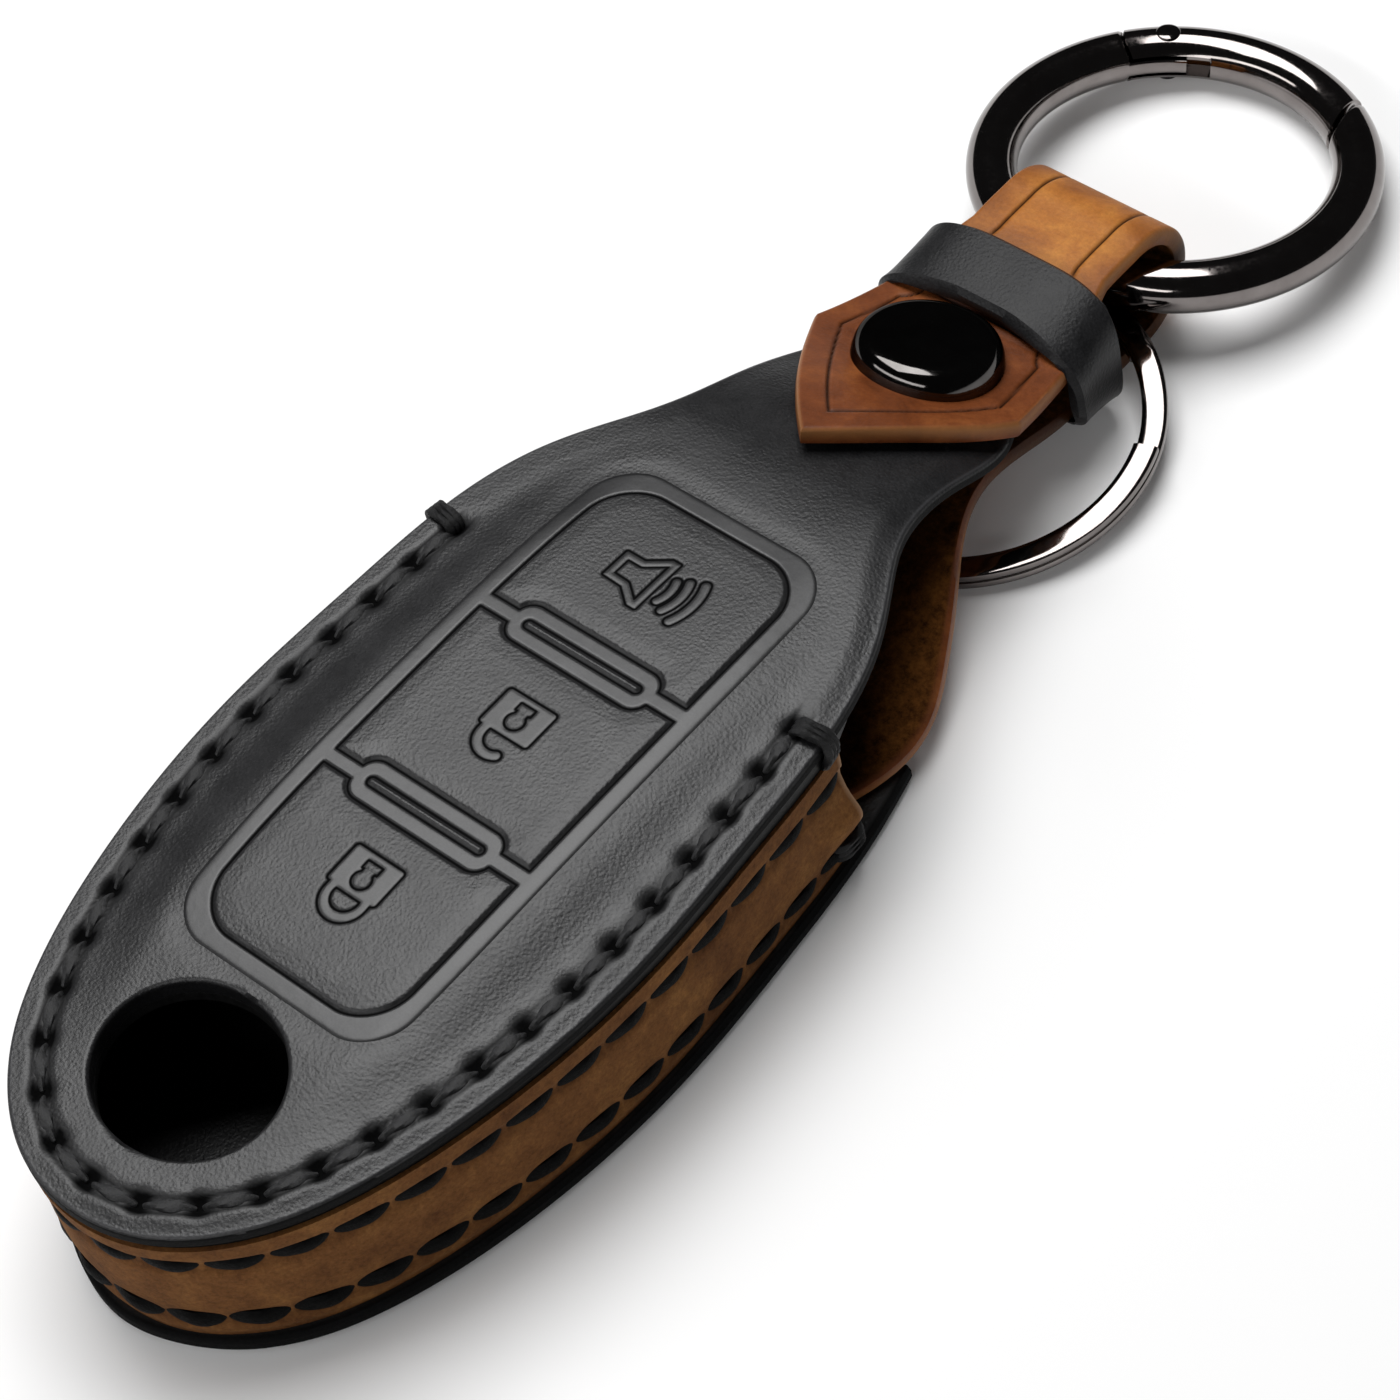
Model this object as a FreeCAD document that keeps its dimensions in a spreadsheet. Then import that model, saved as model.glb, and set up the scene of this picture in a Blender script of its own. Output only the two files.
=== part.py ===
"""Leather cover for a car key fob, with a snap strap, a spring gate ring and a split ring.

The cover lies on its back. X runs across it, Y from the rounded nose to the rings, Z upwards.
The origin is on the rear panel's outer face, below the widest section of the case.
Lengths are millimetres and angles are degrees.
"""
import FreeCAD
import Part
import Sketcher
import math
import os

Vector = FreeCAD.Vector
Rotation = FreeCAD.Rotation
Placement = FreeCAD.Placement

SIZES = {
    # case
    "case_width": 45.0,
    "front_length": 108.3,
    "rim_height": 18.6,
    "panel_thickness": 1.7,
    "crown_rise": 1.7,
    "rear_overhang": 0.3,
    "rear_thickness": 1.7,
    "rear_length": 75.7,
    "mouth_half_width": 19.3,
    "gusset_thickness": 2.0,
    "gusset_inset": 0.4,
    "gusset_length": 67.0,
    "lining_thickness": 0.8,
    "lining_inset": 3.2,
    "lining_length": 78.0,
    # emblem window
    "window_width": 16.8,
    "window_length": 14.6,
    "window_from_nose": 13.9,
    # moulded keypad
    "keypad_from_nose": 51.1,
    "keypad_length": 52.0,
    "keypad_width": 20.4,
    "keypad_corner": 4.0,
    "pad_length": 17.3,
    "pad_gap": 1.5,
    "pad_rise": 0.35,
    # strap
    "strap_thickness": 1.7,
    "strap_start": 60.0,
    "tongue_half_width": 19.2,
    "loop_width": 14.6,
    "loop_from_nose": 124.6,
    "loop_height": 6.6,
    "loop_inner_radius": 4.75,
    "neck_gap": 0.8,
    "tip_length": 22.8,
    "tip_hinge": 111.1,
    "hinge_gap": 0.3,
    "tip_shoulder_width": 22.6,
    "tip_root_width": 19.6,
    # keeper
    "keeper_length": 6.0,
    "keeper_width": 21.0,
    "keeper_thickness": 1.4,
    "keeper_clearance": 0.12,
    "keeper_corner": 3.4,
    "keeper_inner_corner": 0.3,
    # snap fastener
    "snap_from_nose": 103.5,
    "cap_base_diameter": 13.7,
    "cap_top_diameter": 11.4,
    "cap_height": 2.6,
    "cap_skirt": 0.7,
    "cap_wall": 0.6,
    "cap_corner": 0.9,
    "shank_diameter": 6.4,
    "socket_bore": 5.4,
    "socket_flange": 9.0,
    "flange_thickness": 0.3,
    "stud_flange": 8.0,
    "stud_head": 3.8,
    "stud_neck": 3.2,
    "stud_height": 2.0,
    "post_diameter": 2.4,
    "post_flange": 8.4,
    "post_flange_thickness": 0.5,
    "leather_clearance": 0.1,
    # spring gate ring
    "ring_radius": 16.5,
    "wire_radius": 2.35,
    "bar_from_nose": 123.6,
    "bar_height": 7.2,
    "ring_side_shift": -0.8,
    "hinge_from_middle": 10.3,
    "latch_from_middle": 9.2,
    "latch_gap": 0.5,
    "knuckle_radius": 4.2,
    "knuckle_clearance": 0.25,
    "tongue_thickness": 1.5,
    "tongue_radius": 1.9,
    "tongue_clearance": 0.12,
    "pin_radius": 0.7,
    "pin_clearance": 0.05,
    # split ring
    "split_outer_radius": 17.4,
    "split_width": 2.3,
    "coil_height": 0.95,
    "coil_gap": 0.06,
    "split_reach": 125.0,
    "split_bar_height": 3.45,
    "split_side_shift": 0.6,
    "split_jog_degrees": 34.0,
    "split_end_degrees": 2.5,
    "split_turn_degrees": 20.0,
    # tools
    "overrun": 3.0,
}

# Half outline of the front leather, from the nose to the neck's end: shares of the half width
# and of the length.
FRONT_WIDTH_SHARES = (0.244, 0.489, 0.653, 0.769, 0.916, 1.0, 0.973, 0.907, 0.809, 0.684, 0.582, 0.529, 0.507,
                      0.484, 0.413, 0.262)
FRONT_LENGTH_SHARES = (0.0092, 0.0416, 0.0822, 0.1293, 0.2308, 0.3878, 0.5171, 0.6417, 0.7018, 0.7479, 0.7867,
                       0.8264, 0.8726, 0.9187, 0.9584, 0.9898)
WIDEST_SHARE = 0.3878
REAR_POINTS_SHARE = 0.65

# Height of the front leather along the middle, without its crown: shares of the length and of
# the rim height.
SPINE_LENGTH_SHARES = (-0.03, 0.09, 0.28, 0.55, 0.70, 0.757, 0.785, 0.815, 0.840, 0.8726, 0.914, 0.9557, 1.0,
                       1.06)
SPINE_HEIGHT_SHARES = (0.976, 0.989, 1.0, 1.016, 1.011, 0.997, 0.978, 0.938, 0.892, 0.812, 0.688, 0.589, 0.516,
                       0.450)

# Crown of the moulded front: shares of the length and of the crown's rise, and its plateau and foot across.
CROWN_LENGTH_SHARES = (-0.03, 0.06, 0.13, 0.21, 0.31, 0.48, 0.64, 0.72, 0.78, 1.06)
CROWN_RISE_SHARES = (0.0, 0.0, 0.22, 0.65, 1.0, 0.97, 0.55, 0.15, 0.0, 0.0)
PLATEAU_SHARE = 0.50
FOOT_SHARE = 0.84
SURFACE_ROWS = 20
SURFACE_COLUMNS = 15

# Tongue and strap seen from above: shares of the case's front length and of the tongue's half width.
TONGUE_LENGTH_SHARES = (0.554, 0.618, 0.665, 0.702, 0.739, 0.776, 0.813, 0.850, 0.886, 0.923, 0.979)
TONGUE_WIDTH_SHARES = (0.855, 0.875, 0.965, 1.0, 0.969, 0.880, 0.771, 0.645, 0.540, 0.480, 0.465)

# Upper face of the lower ply between the rear panel and the loop: shares of the length and of the rim height.
PLY_LENGTH_SHARES = (0.685, 0.739, 0.776, 0.813, 0.850, 0.886, 0.923, 0.960, 0.997, 1.034, 1.062, 1.085, 1.102,
                     1.118)
PLY_HEIGHT_SHARES = (0.201, 0.230, 0.296, 0.375, 0.435, 0.460, 0.440, 0.392, 0.333, 0.280, 0.229, 0.172, 0.119,
                     0.097)
OFFSET_STEPS = 32
OUTLINE_STEPS = 48

# Rise of the upper ply from the tip's hinge to the loop's top: shares of the run and of the rise.
RETURN_RUN_SHARES = (0.0, 0.16, 0.38, 0.62, 0.83)
RETURN_RISE_SHARES = (0.0, 0.28, 0.75, 1.04, 1.06)
TIP_BULGE_SHARE = 0.045
KEEPER_STATION_SHARES = (0.0, 0.5, 1.0)
RAMP_SHARES = (0.0, 0.25, 0.5, 0.75, 1.0)

# Turned pieces of the snap: a radius as a share of its diameter, and shares of their own sizes.
RADIUS_SHARE = 0.5
CAP_ROUND_SHARE = 0.4
CAP_INSIDE_SHARE = 0.8
STUD_NOSE_SHARE = 0.42
STUD_CHEEK_SHARE = 0.85
STUD_WAIST_SHARE = 0.5
POST_TOP_SHARE = 0.7
POST_EDGE_SHARE = 0.42

# Part of the latch gap on each side of its middle, and sides of the ring wire's nearly round section.
GAP_SIDE_SHARE = 0.5
WIRE_SIDES = 16

doc = FreeCAD.newDocument("key_fob_cover")
sheet = doc.addObject("Spreadsheet::Sheet", "Sizes")
for row, (name, value) in enumerate(SIZES.items(), start=1):
    sheet.set(f"A{row}", name)
    sheet.set(f"B{row}", str(value))
    sheet.setAlias(f"B{row}", name)
doc.recompute()


def size(name):
    """A driving dimension from the sheet."""
    return float(sheet.get(name))


def spline(points, **options):
    """A smooth curve through points."""
    curve = Part.BSplineCurve()
    curve.interpolate(Points=points, **options)
    return curve


def table(shares_in, shares_out, scale_in, scale_out):
    """A smooth function through shares of two sizes."""
    curve = spline([Vector(a * scale_in, b * scale_out, 0) for a, b in zip(shares_in, shares_out)])

    def value(at):
        line = Part.Line(Vector(at, 0, 0), Vector(at, 1, 0))
        hits = curve.intersectCC(line)
        return hits[0].Y

    return value


def smoothstep(low, high, at):
    """0 below low, 1 above high and a soft rise between them."""
    part = min(max((at - low) / (high - low), 0.0), 1.0)
    return part * part * (3 - 2 * part)


def prism(wire, low, high):
    """An upright solid with the wire as its outline."""
    ends = [wire.copy(), wire.copy()]
    for end, level in zip(ends, (low, high)):
        end.translate(Vector(0, 0, level - wire.BoundBox.ZMin))
    return Part.makeLoft(ends, True, True)


def slab_between(first, last):
    """A block across the whole object from one station along Y to another."""
    return Part.makeBox(2 * TALL, last - first, 2 * TALL, Vector(-TALL, first, -TALL))


def add_shape(label, shape, placement=None):
    """A sub-part whose shape is worked out from the sheet's sizes."""
    feature = doc.addObject("Part::Feature", label)
    feature.Label = label
    feature.Shape = shape
    feature.Placement = placement if placement else Placement()
    SUBPARTS.append(feature)
    return feature


SUBPARTS = []
LENGTH = size("front_length")
HALF = size("case_width") / 2
TALL = LENGTH
spine = table(SPINE_LENGTH_SHARES, SPINE_HEIGHT_SHARES, LENGTH, size("rim_height"))
crown = table(CROWN_LENGTH_SHARES, CROWN_RISE_SHARES, LENGTH, size("crown_rise"))


def front_outline():
    """Closed outline of the front leather, nose to neck end."""
    right = [Vector(w * HALF, s * LENGTH, 0) for w, s in zip(FRONT_WIDTH_SHARES, FRONT_LENGTH_SHARES)]
    left = [Vector(-p.x, p.y, 0) for p in reversed(right)]
    return spline([Vector(0, 0, 0)] + right + [Vector(0, LENGTH, 0)] + left, PeriodicFlag=True)


def moved_outline(curve, distance):
    """The closed outline moved inwards by a distance."""
    points = []
    for i in range(OUTLINE_STEPS):
        at = curve.FirstParameter + (curve.LastParameter - curve.FirstParameter) * i / OUTLINE_STEPS
        along = curve.tangent(at)[0]
        points.append(curve.value(at) + Vector(-along.y, along.x, 0) * distance)
    return Part.Wire(spline(points, PeriodicFlag=True).toShape())


OUTLINE = front_outline()
FRONT_WIRE = Part.Wire(OUTLINE.toShape())


def half_width(at):
    """Half width of the front outline at a station along Y."""
    line = Part.Line(Vector(0, at, 0), Vector(1, at, 0))
    return max([abs(hit.X) for hit in OUTLINE.intersectCC(line)] + [size("overrun")])


def front_face():
    """Outer face of the moulded front leather, larger than its outline."""
    reach = HALF + size("overrun")
    rows = []
    first, last = SPINE_LENGTH_SHARES[0] * LENGTH, SPINE_LENGTH_SHARES[-1] * LENGTH
    for i in range(SURFACE_ROWS):
        y = first + (last - first) * i / (SURFACE_ROWS - 1)
        foot = half_width(min(max(y, 0), LENGTH))
        row = []
        for j in range(SURFACE_COLUMNS):
            x = -reach + 2 * reach * j / (SURFACE_COLUMNS - 1)
            across = 1 - smoothstep(PLATEAU_SHARE, FOOT_SHARE, abs(x) / foot)
            row.append(Vector(x, y, spine(y) + max(crown(y), 0) * across))
        rows.append(row)
    surface = Part.BSplineSurface()
    surface.interpolate(rows)
    return surface.toShape()


def bent_face():
    """The front's middle line carried straight across, without the crown."""
    reach = HALF + size("overrun")
    lines = []
    for across in (-reach, reach):
        points = [Vector(across, s * LENGTH, h * size("rim_height"))
                  for s, h in zip(SPINE_LENGTH_SHARES, SPINE_HEIGHT_SHARES)]
        lines.append(spline(points).toShape())
    return Part.makeRuledSurface(*lines)


def leather_under(face, drop, thickness):
    """Leather of an even thickness whose outer face lies a drop below the given one."""
    layer = face.copy()
    layer.translate(Vector(0, 0, -drop))
    return layer.extrude(Vector(0, 0, -thickness))


def window_prism(low, high):
    """Oval window for the fob's emblem."""
    middle = Vector(0, size("window_from_nose"), 0)
    oval = Part.Ellipse(middle, size("window_width") / 2, size("window_length") / 2)
    return prism(Part.Wire(oval.toShape()), low, high)


def rounded_wire(width, length, corner, centre):
    """Rounded rectangle in the XY plane."""
    x, y = width / 2, length / 2
    corners = [(x - corner, y - corner, 0), (corner - x, y - corner, 90),
               (corner - x, corner - y, 180), (x - corner, corner - y, 270)]
    edges = []
    arcs = []
    for cx, cy, start in corners:
        circle = Part.Circle(centre + Vector(cx, cy, 0), Vector(0, 0, 1), corner)
        arcs.append(Part.Arc(circle, math.radians(start), math.radians(start + 90)).toShape())
    for this, following in zip(arcs, arcs[1:] + arcs[:1]):
        edges.append(this)
        edges.append(Part.makeLine(this.Vertexes[-1].Point, following.Vertexes[0].Point))
    return Part.Wire(edges)


def build_front(face):
    """Front panel with its raised pads, window and neck, and the lining behind it."""
    thickness = size("panel_thickness")
    window = window_prism(0, TALL)
    panel = leather_under(face, 0, thickness).common(prism(FRONT_WIRE, 0, TALL))
    middle = Vector(0, size("keypad_from_nose"), 0)
    keypad = rounded_wire(size("keypad_width"), size("keypad_length"), size("keypad_corner"), middle)
    raised = leather_under(face, -size("pad_rise"), size("pad_rise") + thickness / 2)
    raised = raised.common(prism(keypad, 0, TALL))
    for side in (1, -1):
        between = middle.y + side * (size("pad_length") + size("pad_gap")) / 2
        raised = raised.cut(slab_between(between - size("pad_gap") / 2, between + size("pad_gap") / 2))
    panel = panel.fuse(raised).removeSplitter().cut(window)
    panel = panel.cut(snap_cylinder(size("post_diameter"), -size("overrun"), size("overrun")))
    panel = panel.cut(snap_cylinder(size("stud_flange"), 0, size("overrun")))
    under = -neck_depth()
    add_shape("front_panel", panel.cut(snap_cylinder(size("post_flange"), under - size("overrun"), under)))

    lining = leather_under(bent_face(), thickness + size("leather_clearance"), size("lining_thickness"))
    lining = lining.common(prism(moved_outline(OUTLINE, size("lining_inset")), 0, TALL))
    lining = lining.common(slab_between(-size("overrun"), size("lining_length")))
    add_shape("front_lining", lining.cut(window))


def rear_wire():
    """Outline of the rear panel, cut straight across at the mouth."""
    grow = 1 + size("rear_overhang") / HALF
    right = [Vector(w * HALF * grow, s * LENGTH, 0) for w, s in zip(FRONT_WIDTH_SHARES, FRONT_LENGTH_SHARES)
             if s < REAR_POINTS_SHARE]
    right.append(Vector(size("mouth_half_width"), size("rear_length"), 0))
    left = [Vector(-p.x, p.y, 0) for p in reversed(right)]
    nose = Vector(0, -size("rear_overhang"), 0)
    edge = spline(left + [nose] + right).toShape()
    return Part.Wire([edge, Part.makeLine(right[-1], left[0])])


def build_rear_and_gusset(face):
    """Rear panel and the upright gusset that joins it to the front."""
    rear_thickness = size("rear_thickness")
    add_shape("rear_panel", prism(rear_wire(), 0, rear_thickness))

    band = prism(moved_outline(OUTLINE, size("gusset_inset")), rear_thickness, TALL)
    inner = moved_outline(OUTLINE, size("gusset_inset") + size("gusset_thickness"))
    band = band.cut(prism(inner, 0, TALL + size("overrun")))
    band = band.common(slab_between(-size("overrun"), size("gusset_length")))
    add_shape("side_gusset", band.common(leather_under(face, size("panel_thickness"), TALL)))


def offset_points(curve, distance):
    """Points beside a curve in the YZ plane, at a distance on its left."""
    points = []
    for i in range(OFFSET_STEPS + 1):
        at = curve.FirstParameter + (curve.LastParameter - curve.FirstParameter) * i / OFFSET_STEPS
        along = curve.tangent(at)[0]
        points.append(curve.value(at) + Vector(0, -along.z, along.y) * distance)
    return points


def ribbon(curves, arcs, half):
    """Leather ribbon whose side view is a chain of edges, as wide as twice the half."""
    ends = [Part.Wire(Part.__sortEdges__(curves + arcs)) for side in (-1, 1)]
    for end, across in zip(ends, (-half, half)):
        end.translate(Vector(across, 0, 0))
    return Part.makeLoft(ends, True, True)


def tip_path():
    """Middle of the strap tip, laid along the neck below it."""
    half = size("strap_thickness") / 2
    end = size("tip_hinge") - size("hinge_gap")
    start = size("tip_hinge") - size("tip_length")
    step = size("overrun")
    points = []
    count = math.ceil((end - start) / step)
    for i in range(count + 1):
        y = end + (start - end) * i / count
        slope = (spine(y + step / 2) - spine(y - step / 2)) / step
        points.append(Vector(0, y, spine(y) + (size("neck_gap") + half) * math.hypot(1, slope)))
    return spline(points)


def build_strap():
    """Tongue, lower ply, loop and the upper ply that returns to the tip's hinge, then the tip itself."""
    thickness = size("strap_thickness")
    half = thickness / 2
    centre = Vector(0, size("loop_from_nose"), size("loop_height"))
    inner = size("loop_inner_radius")
    middle = inner + half
    tip = tip_path()
    hinge = tip.value(tip.FirstParameter)
    floor = size("rear_thickness") + half
    lower = [Vector(0, size("strap_start"), floor), Vector(0, size("gusset_length"), floor)]
    lower += [Vector(0, s * LENGTH, h * size("rim_height") - half)
              for s, h in zip(PLY_LENGTH_SHARES, PLY_HEIGHT_SHARES)]
    lower.append(centre + Vector(0, 0, -middle))
    ahead = Vector(0, 1, 0)
    lower = spline(lower, InitialTangent=ahead, FinalTangent=ahead)
    top = centre + Vector(0, 0, middle)
    run, rise = hinge.y + size("hinge_gap") - top.y, hinge.z - top.z
    upper = [Vector(0, top.y + run * (1 - a), top.z + rise * (1 - b))
             for a, b in zip(RETURN_RUN_SHARES, RETURN_RISE_SHARES)]
    upper = spline([top] + upper[::-1], InitialTangent=ahead * -1, FinalTangent=ahead * -1)
    chains = []
    arcs = []
    for side in (1, -1):
        below = offset_points(lower, side * half)
        above = offset_points(upper, side * half)
        chains += [spline(below).toShape(), spline(above).toShape()]
        radius = middle - side * half
        arcs.append(Part.Arc(below[-1], centre + Vector(0, radius, 0), above[0]).toShape())
        if side == 1:
            ends = [below[0], above[-1]]
        else:
            arcs += [Part.makeLine(ends[0], below[0]), Part.makeLine(ends[1], above[-1])]
    strap = ribbon(chains, arcs, HALF)

    hinge_at = size("tip_hinge")
    loop_half = size("loop_width") / 2
    narrow = size("loop_from_nose") - inner
    in_keeper = size("keeper_width") / 2 - size("keeper_thickness") - size("keeper_clearance")
    side = [Vector(w * size("tongue_half_width"), s * LENGTH, 0)
            for w, s in zip(TONGUE_WIDTH_SHARES, TONGUE_LENGTH_SHARES)]
    side += [Vector(in_keeper, hinge_at + size("hinge_gap"), 0), Vector(loop_half, narrow, 0)]
    far = centre.y + inner + thickness + size("overrun")
    edges = []
    for sign in (1, -1):
        along = [Vector(sign * p.x, p.y, 0) for p in side]
        edges.append(spline(along).toShape())
        edges.append(Part.makeLine(along[-1], Vector(along[-1].x, far, 0)))
    edges.append(Part.makeLine(Vector(side[0].x, side[0].y, 0), Vector(-side[0].x, side[0].y, 0)))
    edges.append(Part.makeLine(Vector(loop_half, far, 0), Vector(-loop_half, far, 0)))
    plan = Part.Wire(Part.__sortEdges__(edges))
    add_shape("strap", strap.common(prism(plan, -TALL, TALL)))

    ends = []
    chains = []
    for sign in (1, -1):
        points = offset_points(tip, sign * half)
        chains.append(spline(points).toShape())
        ends.append((points[0], points[-1]))
    lines = [Part.makeLine(ends[0][k], ends[1][k]) for k in (0, 1)]
    leather = ribbon(chains, lines, HALF)
    root = size("tip_root_width") / 2
    shoulder = Vector(size("tip_shoulder_width") / 2, size("snap_from_nose") - half, 0)
    point = Vector(0, hinge_at - size("tip_length"), 0)
    edges = [Part.makeLine(Vector(root, hinge_at, 0), Vector(-root, hinge_at, 0))]
    for sign in (1, -1):
        edge = Vector(sign * shoulder.x, shoulder.y, 0)
        edges.append(Part.makeLine(Vector(sign * root, hinge_at, 0), edge))
        outward = Vector(edge.y - point.y, sign * -abs(edge.x), 0) * sign
        bulge = (edge + point) / 2 + outward * TIP_BULGE_SHARE
        edges.append(Part.Arc(edge, bulge, point).toShape())
    shield = Part.Wire(Part.__sortEdges__(edges))
    leather = leather.common(prism(shield, 0, TALL))
    leather = leather.cut(snap_cylinder(size("shank_diameter"), -TALL, TALL))
    leather = leather.cut(snap_cylinder(size("socket_flange"), 0, size("neck_gap")))
    seat = size("neck_gap") + thickness
    add_shape("strap_tip", leather.cut(snap_cylinder(size("cap_base_diameter"), seat, TALL)))
    return lower, upper


def keeper_section(low, high, shrink, y):
    """Rounded section of the keeper in the XZ plane, at a station along Y."""
    width = size("keeper_width") - 2 * shrink
    corner = size("keeper_inner_corner") if shrink else size("keeper_corner")
    wire = rounded_wire(width, high - low, corner, Vector(0, (low + high) / 2, 0))
    wire.rotate(Vector(0, 0, 0), Vector(1, 0, 0), 90)
    wire.translate(Vector(0, y, 0))
    return wire


def height_at(curve, y):
    """Height of a curve in the YZ plane at a station."""
    flat = Part.Plane(Vector(0, y, 0), Vector(0, 1, 0))
    return flat.intersect(curve)[0][0].Z


def build_keeper(lower, upper):
    """Sleeve round both plies, following their slopes."""
    reach = size("strap_thickness") / 2 + size("keeper_clearance")
    wall = size("keeper_thickness")
    start = size("tip_hinge") + size("hinge_gap")
    outside = []
    inside = []
    for share in KEEPER_STATION_SHARES:
        y = start + share * size("keeper_length")
        low, high = height_at(lower, y) - reach, height_at(upper, y) + reach
        outside.append(keeper_section(low - wall, high + wall, 0, y))
        inside.append(keeper_section(low, high, wall, y))
    sleeve = Part.makeLoft(outside, True, True).cut(Part.makeLoft(inside, True, True))
    add_shape("strap_keeper", sleeve)


def snap_placement():
    """The snap's axis stands square to the neck's slope, with its zero on the neck's outer face."""
    y, step = size("snap_from_nose"), size("overrun")
    slope = (spine(y + step / 2) - spine(y - step / 2)) / step
    turn = Rotation(Vector(1, 0, 0), math.degrees(math.atan(slope)))
    return Placement(Vector(0, y, spine(y)), turn)


def neck_depth():
    """Depth of the neck's inner face along the snap's axis."""
    return size("panel_thickness") * math.cos(snap_placement().Rotation.Angle)


def snap_cylinder(diameter, low, high):
    """A cutter on the snap's axis that clears a round metal piece."""
    radius = diameter / 2 + size("leather_clearance")
    cutter = Part.makeCylinder(radius, high - low, Vector(0, 0, low))
    cutter.Placement = snap_placement().multiply(cutter.Placement)
    return cutter


def length(**terms):
    """A length as a sum of sheet sizes times factors: its value and its expression."""
    value = sum(size(name) * factor for name, factor in terms.items())
    expression = " + ".join(f"({factor}) * Sizes.{name}" for name, factor in terms.items())
    return value, expression


def revolved_body(label, section, placement):
    """A turned piece: its half section is a chain of radius and height lengths, with None on the axis."""
    body = doc.addObject("PartDesign::Body", label)
    body.Label = label
    plane = next(item for item in body.Origin.OriginFeatures if item.Role == "XZ_Plane")
    sketch = body.newObject("Sketcher::SketchObject", label + "_section")
    sketch.AttachmentSupport = [(plane, "")]
    sketch.MapMode = "FlatFace"
    corners = [Vector(radius[0] if radius else 0, height[0], 0) for radius, height in section]
    count = len(corners)
    for i in range(count):
        sketch.addGeometry(Part.LineSegment(corners[i], corners[(i + 1) % count]))
    for i in range(count):
        sketch.addConstraint(Sketcher.Constraint("Coincident", i, 2, (i + 1) % count, 1))
    for i, (radius, height) in enumerate(section):
        if radius:
            at = sketch.addConstraint(Sketcher.Constraint("DistanceX", -1, 1, i, 1, radius[0]))
            sketch.setExpression(f"Constraints[{at}]", radius[1])
        else:
            sketch.addConstraint(Sketcher.Constraint("PointOnObject", i, 1, -2))
        at = sketch.addConstraint(Sketcher.Constraint("DistanceY", -1, 1, i, 1, height[0]))
        sketch.setExpression(f"Constraints[{at}]", height[1])
    turned = body.newObject("PartDesign::Revolution", label + "_turned")
    turned.Profile = sketch
    turned.ReferenceAxis = (sketch, ["V_Axis"])
    turned.Angle = 360
    body.Placement = placement
    SUBPARTS.append(body)
    return body


def build_snap():
    """Cap and socket on the strap tip, stud and post on the neck."""
    place = snap_placement()
    top = {"neck_gap": 1, "strap_thickness": 1}
    roof = dict(top, cap_height=1)
    cap_edge = length(cap_base_diameter=RADIUS_SHARE)
    cap_inside = length(cap_base_diameter=RADIUS_SHARE, cap_wall=-1)
    cap_flat = length(cap_top_diameter=RADIUS_SHARE, cap_corner=-1)
    bore, shank = length(socket_bore=RADIUS_SHARE), length(shank_diameter=RADIUS_SHARE)
    ceiling = length(**roof, cap_wall=-1)
    revolved_body("snap_cap", [
        (None, length(**roof)),
        (cap_flat, length(**roof)),
        (length(cap_top_diameter=RADIUS_SHARE), length(**roof, cap_corner=-CAP_ROUND_SHARE)),
        (cap_edge, length(**top, cap_skirt=1)),
        (cap_edge, length(**top)),
        (cap_inside, length(**top)),
        (cap_inside, length(**top, cap_skirt=CAP_INSIDE_SHARE)),
        (cap_flat, ceiling),
        (shank, ceiling),
        (shank, length(neck_gap=1)),
        (bore, length(neck_gap=1)),
        (bore, ceiling),
        (None, ceiling),
    ], place)
    under = length(neck_gap=1, flange_thickness=-1)
    revolved_body("snap_socket", [
        (bore, under),
        (length(socket_flange=RADIUS_SHARE), under),
        (length(socket_flange=RADIUS_SHARE), length(neck_gap=1)),
        (bore, length(neck_gap=1)),
    ], place)
    flange = length(flange_thickness=1)
    zero = length(flange_thickness=0)
    post, post_top = length(post_diameter=RADIUS_SHARE), length(stud_height=POST_TOP_SHARE)
    revolved_body("snap_stud", [
        (None, length(stud_height=1)),
        (length(stud_head=STUD_NOSE_SHARE), length(stud_height=1)),
        (length(stud_head=RADIUS_SHARE), length(stud_height=STUD_CHEEK_SHARE)),
        (length(stud_head=RADIUS_SHARE), post_top),
        (length(stud_neck=RADIUS_SHARE), length(stud_height=STUD_WAIST_SHARE)),
        (length(stud_neck=RADIUS_SHARE), flange),
        (length(stud_flange=RADIUS_SHARE), flange),
        (length(stud_flange=RADIUS_SHARE), zero),
        (post, zero),
        (post, post_top),
        (None, post_top),
    ], place)
    depth_share = neck_depth() / size("panel_thickness")
    under = length(panel_thickness=-depth_share)
    base = length(panel_thickness=-depth_share, post_flange_thickness=-1)
    revolved_body("snap_post", [
        (None, post_top),
        (post, post_top),
        (post, under),
        (length(post_flange=RADIUS_SHARE), under),
        (length(post_flange=POST_EDGE_SHARE), base),
        (None, base),
    ], place)


def primitive(kind, name, base=("0", "0", "0"), **sizes):
    """A Part primitive whose sizes and place are expressions of the sheet."""
    item = doc.addObject(kind, name)
    for key, expression in sizes.items():
        item.setExpression(key, expression)
    for axis, expression in zip("xyz", base):
        item.setExpression(f"Placement.Base.{axis}", expression)
    return item


def boolean(kind, name, base, tool):
    """A Part boolean of two objects."""
    item = doc.addObject(kind, name)
    item.Base = base
    item.Tool = tool
    return item


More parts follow.
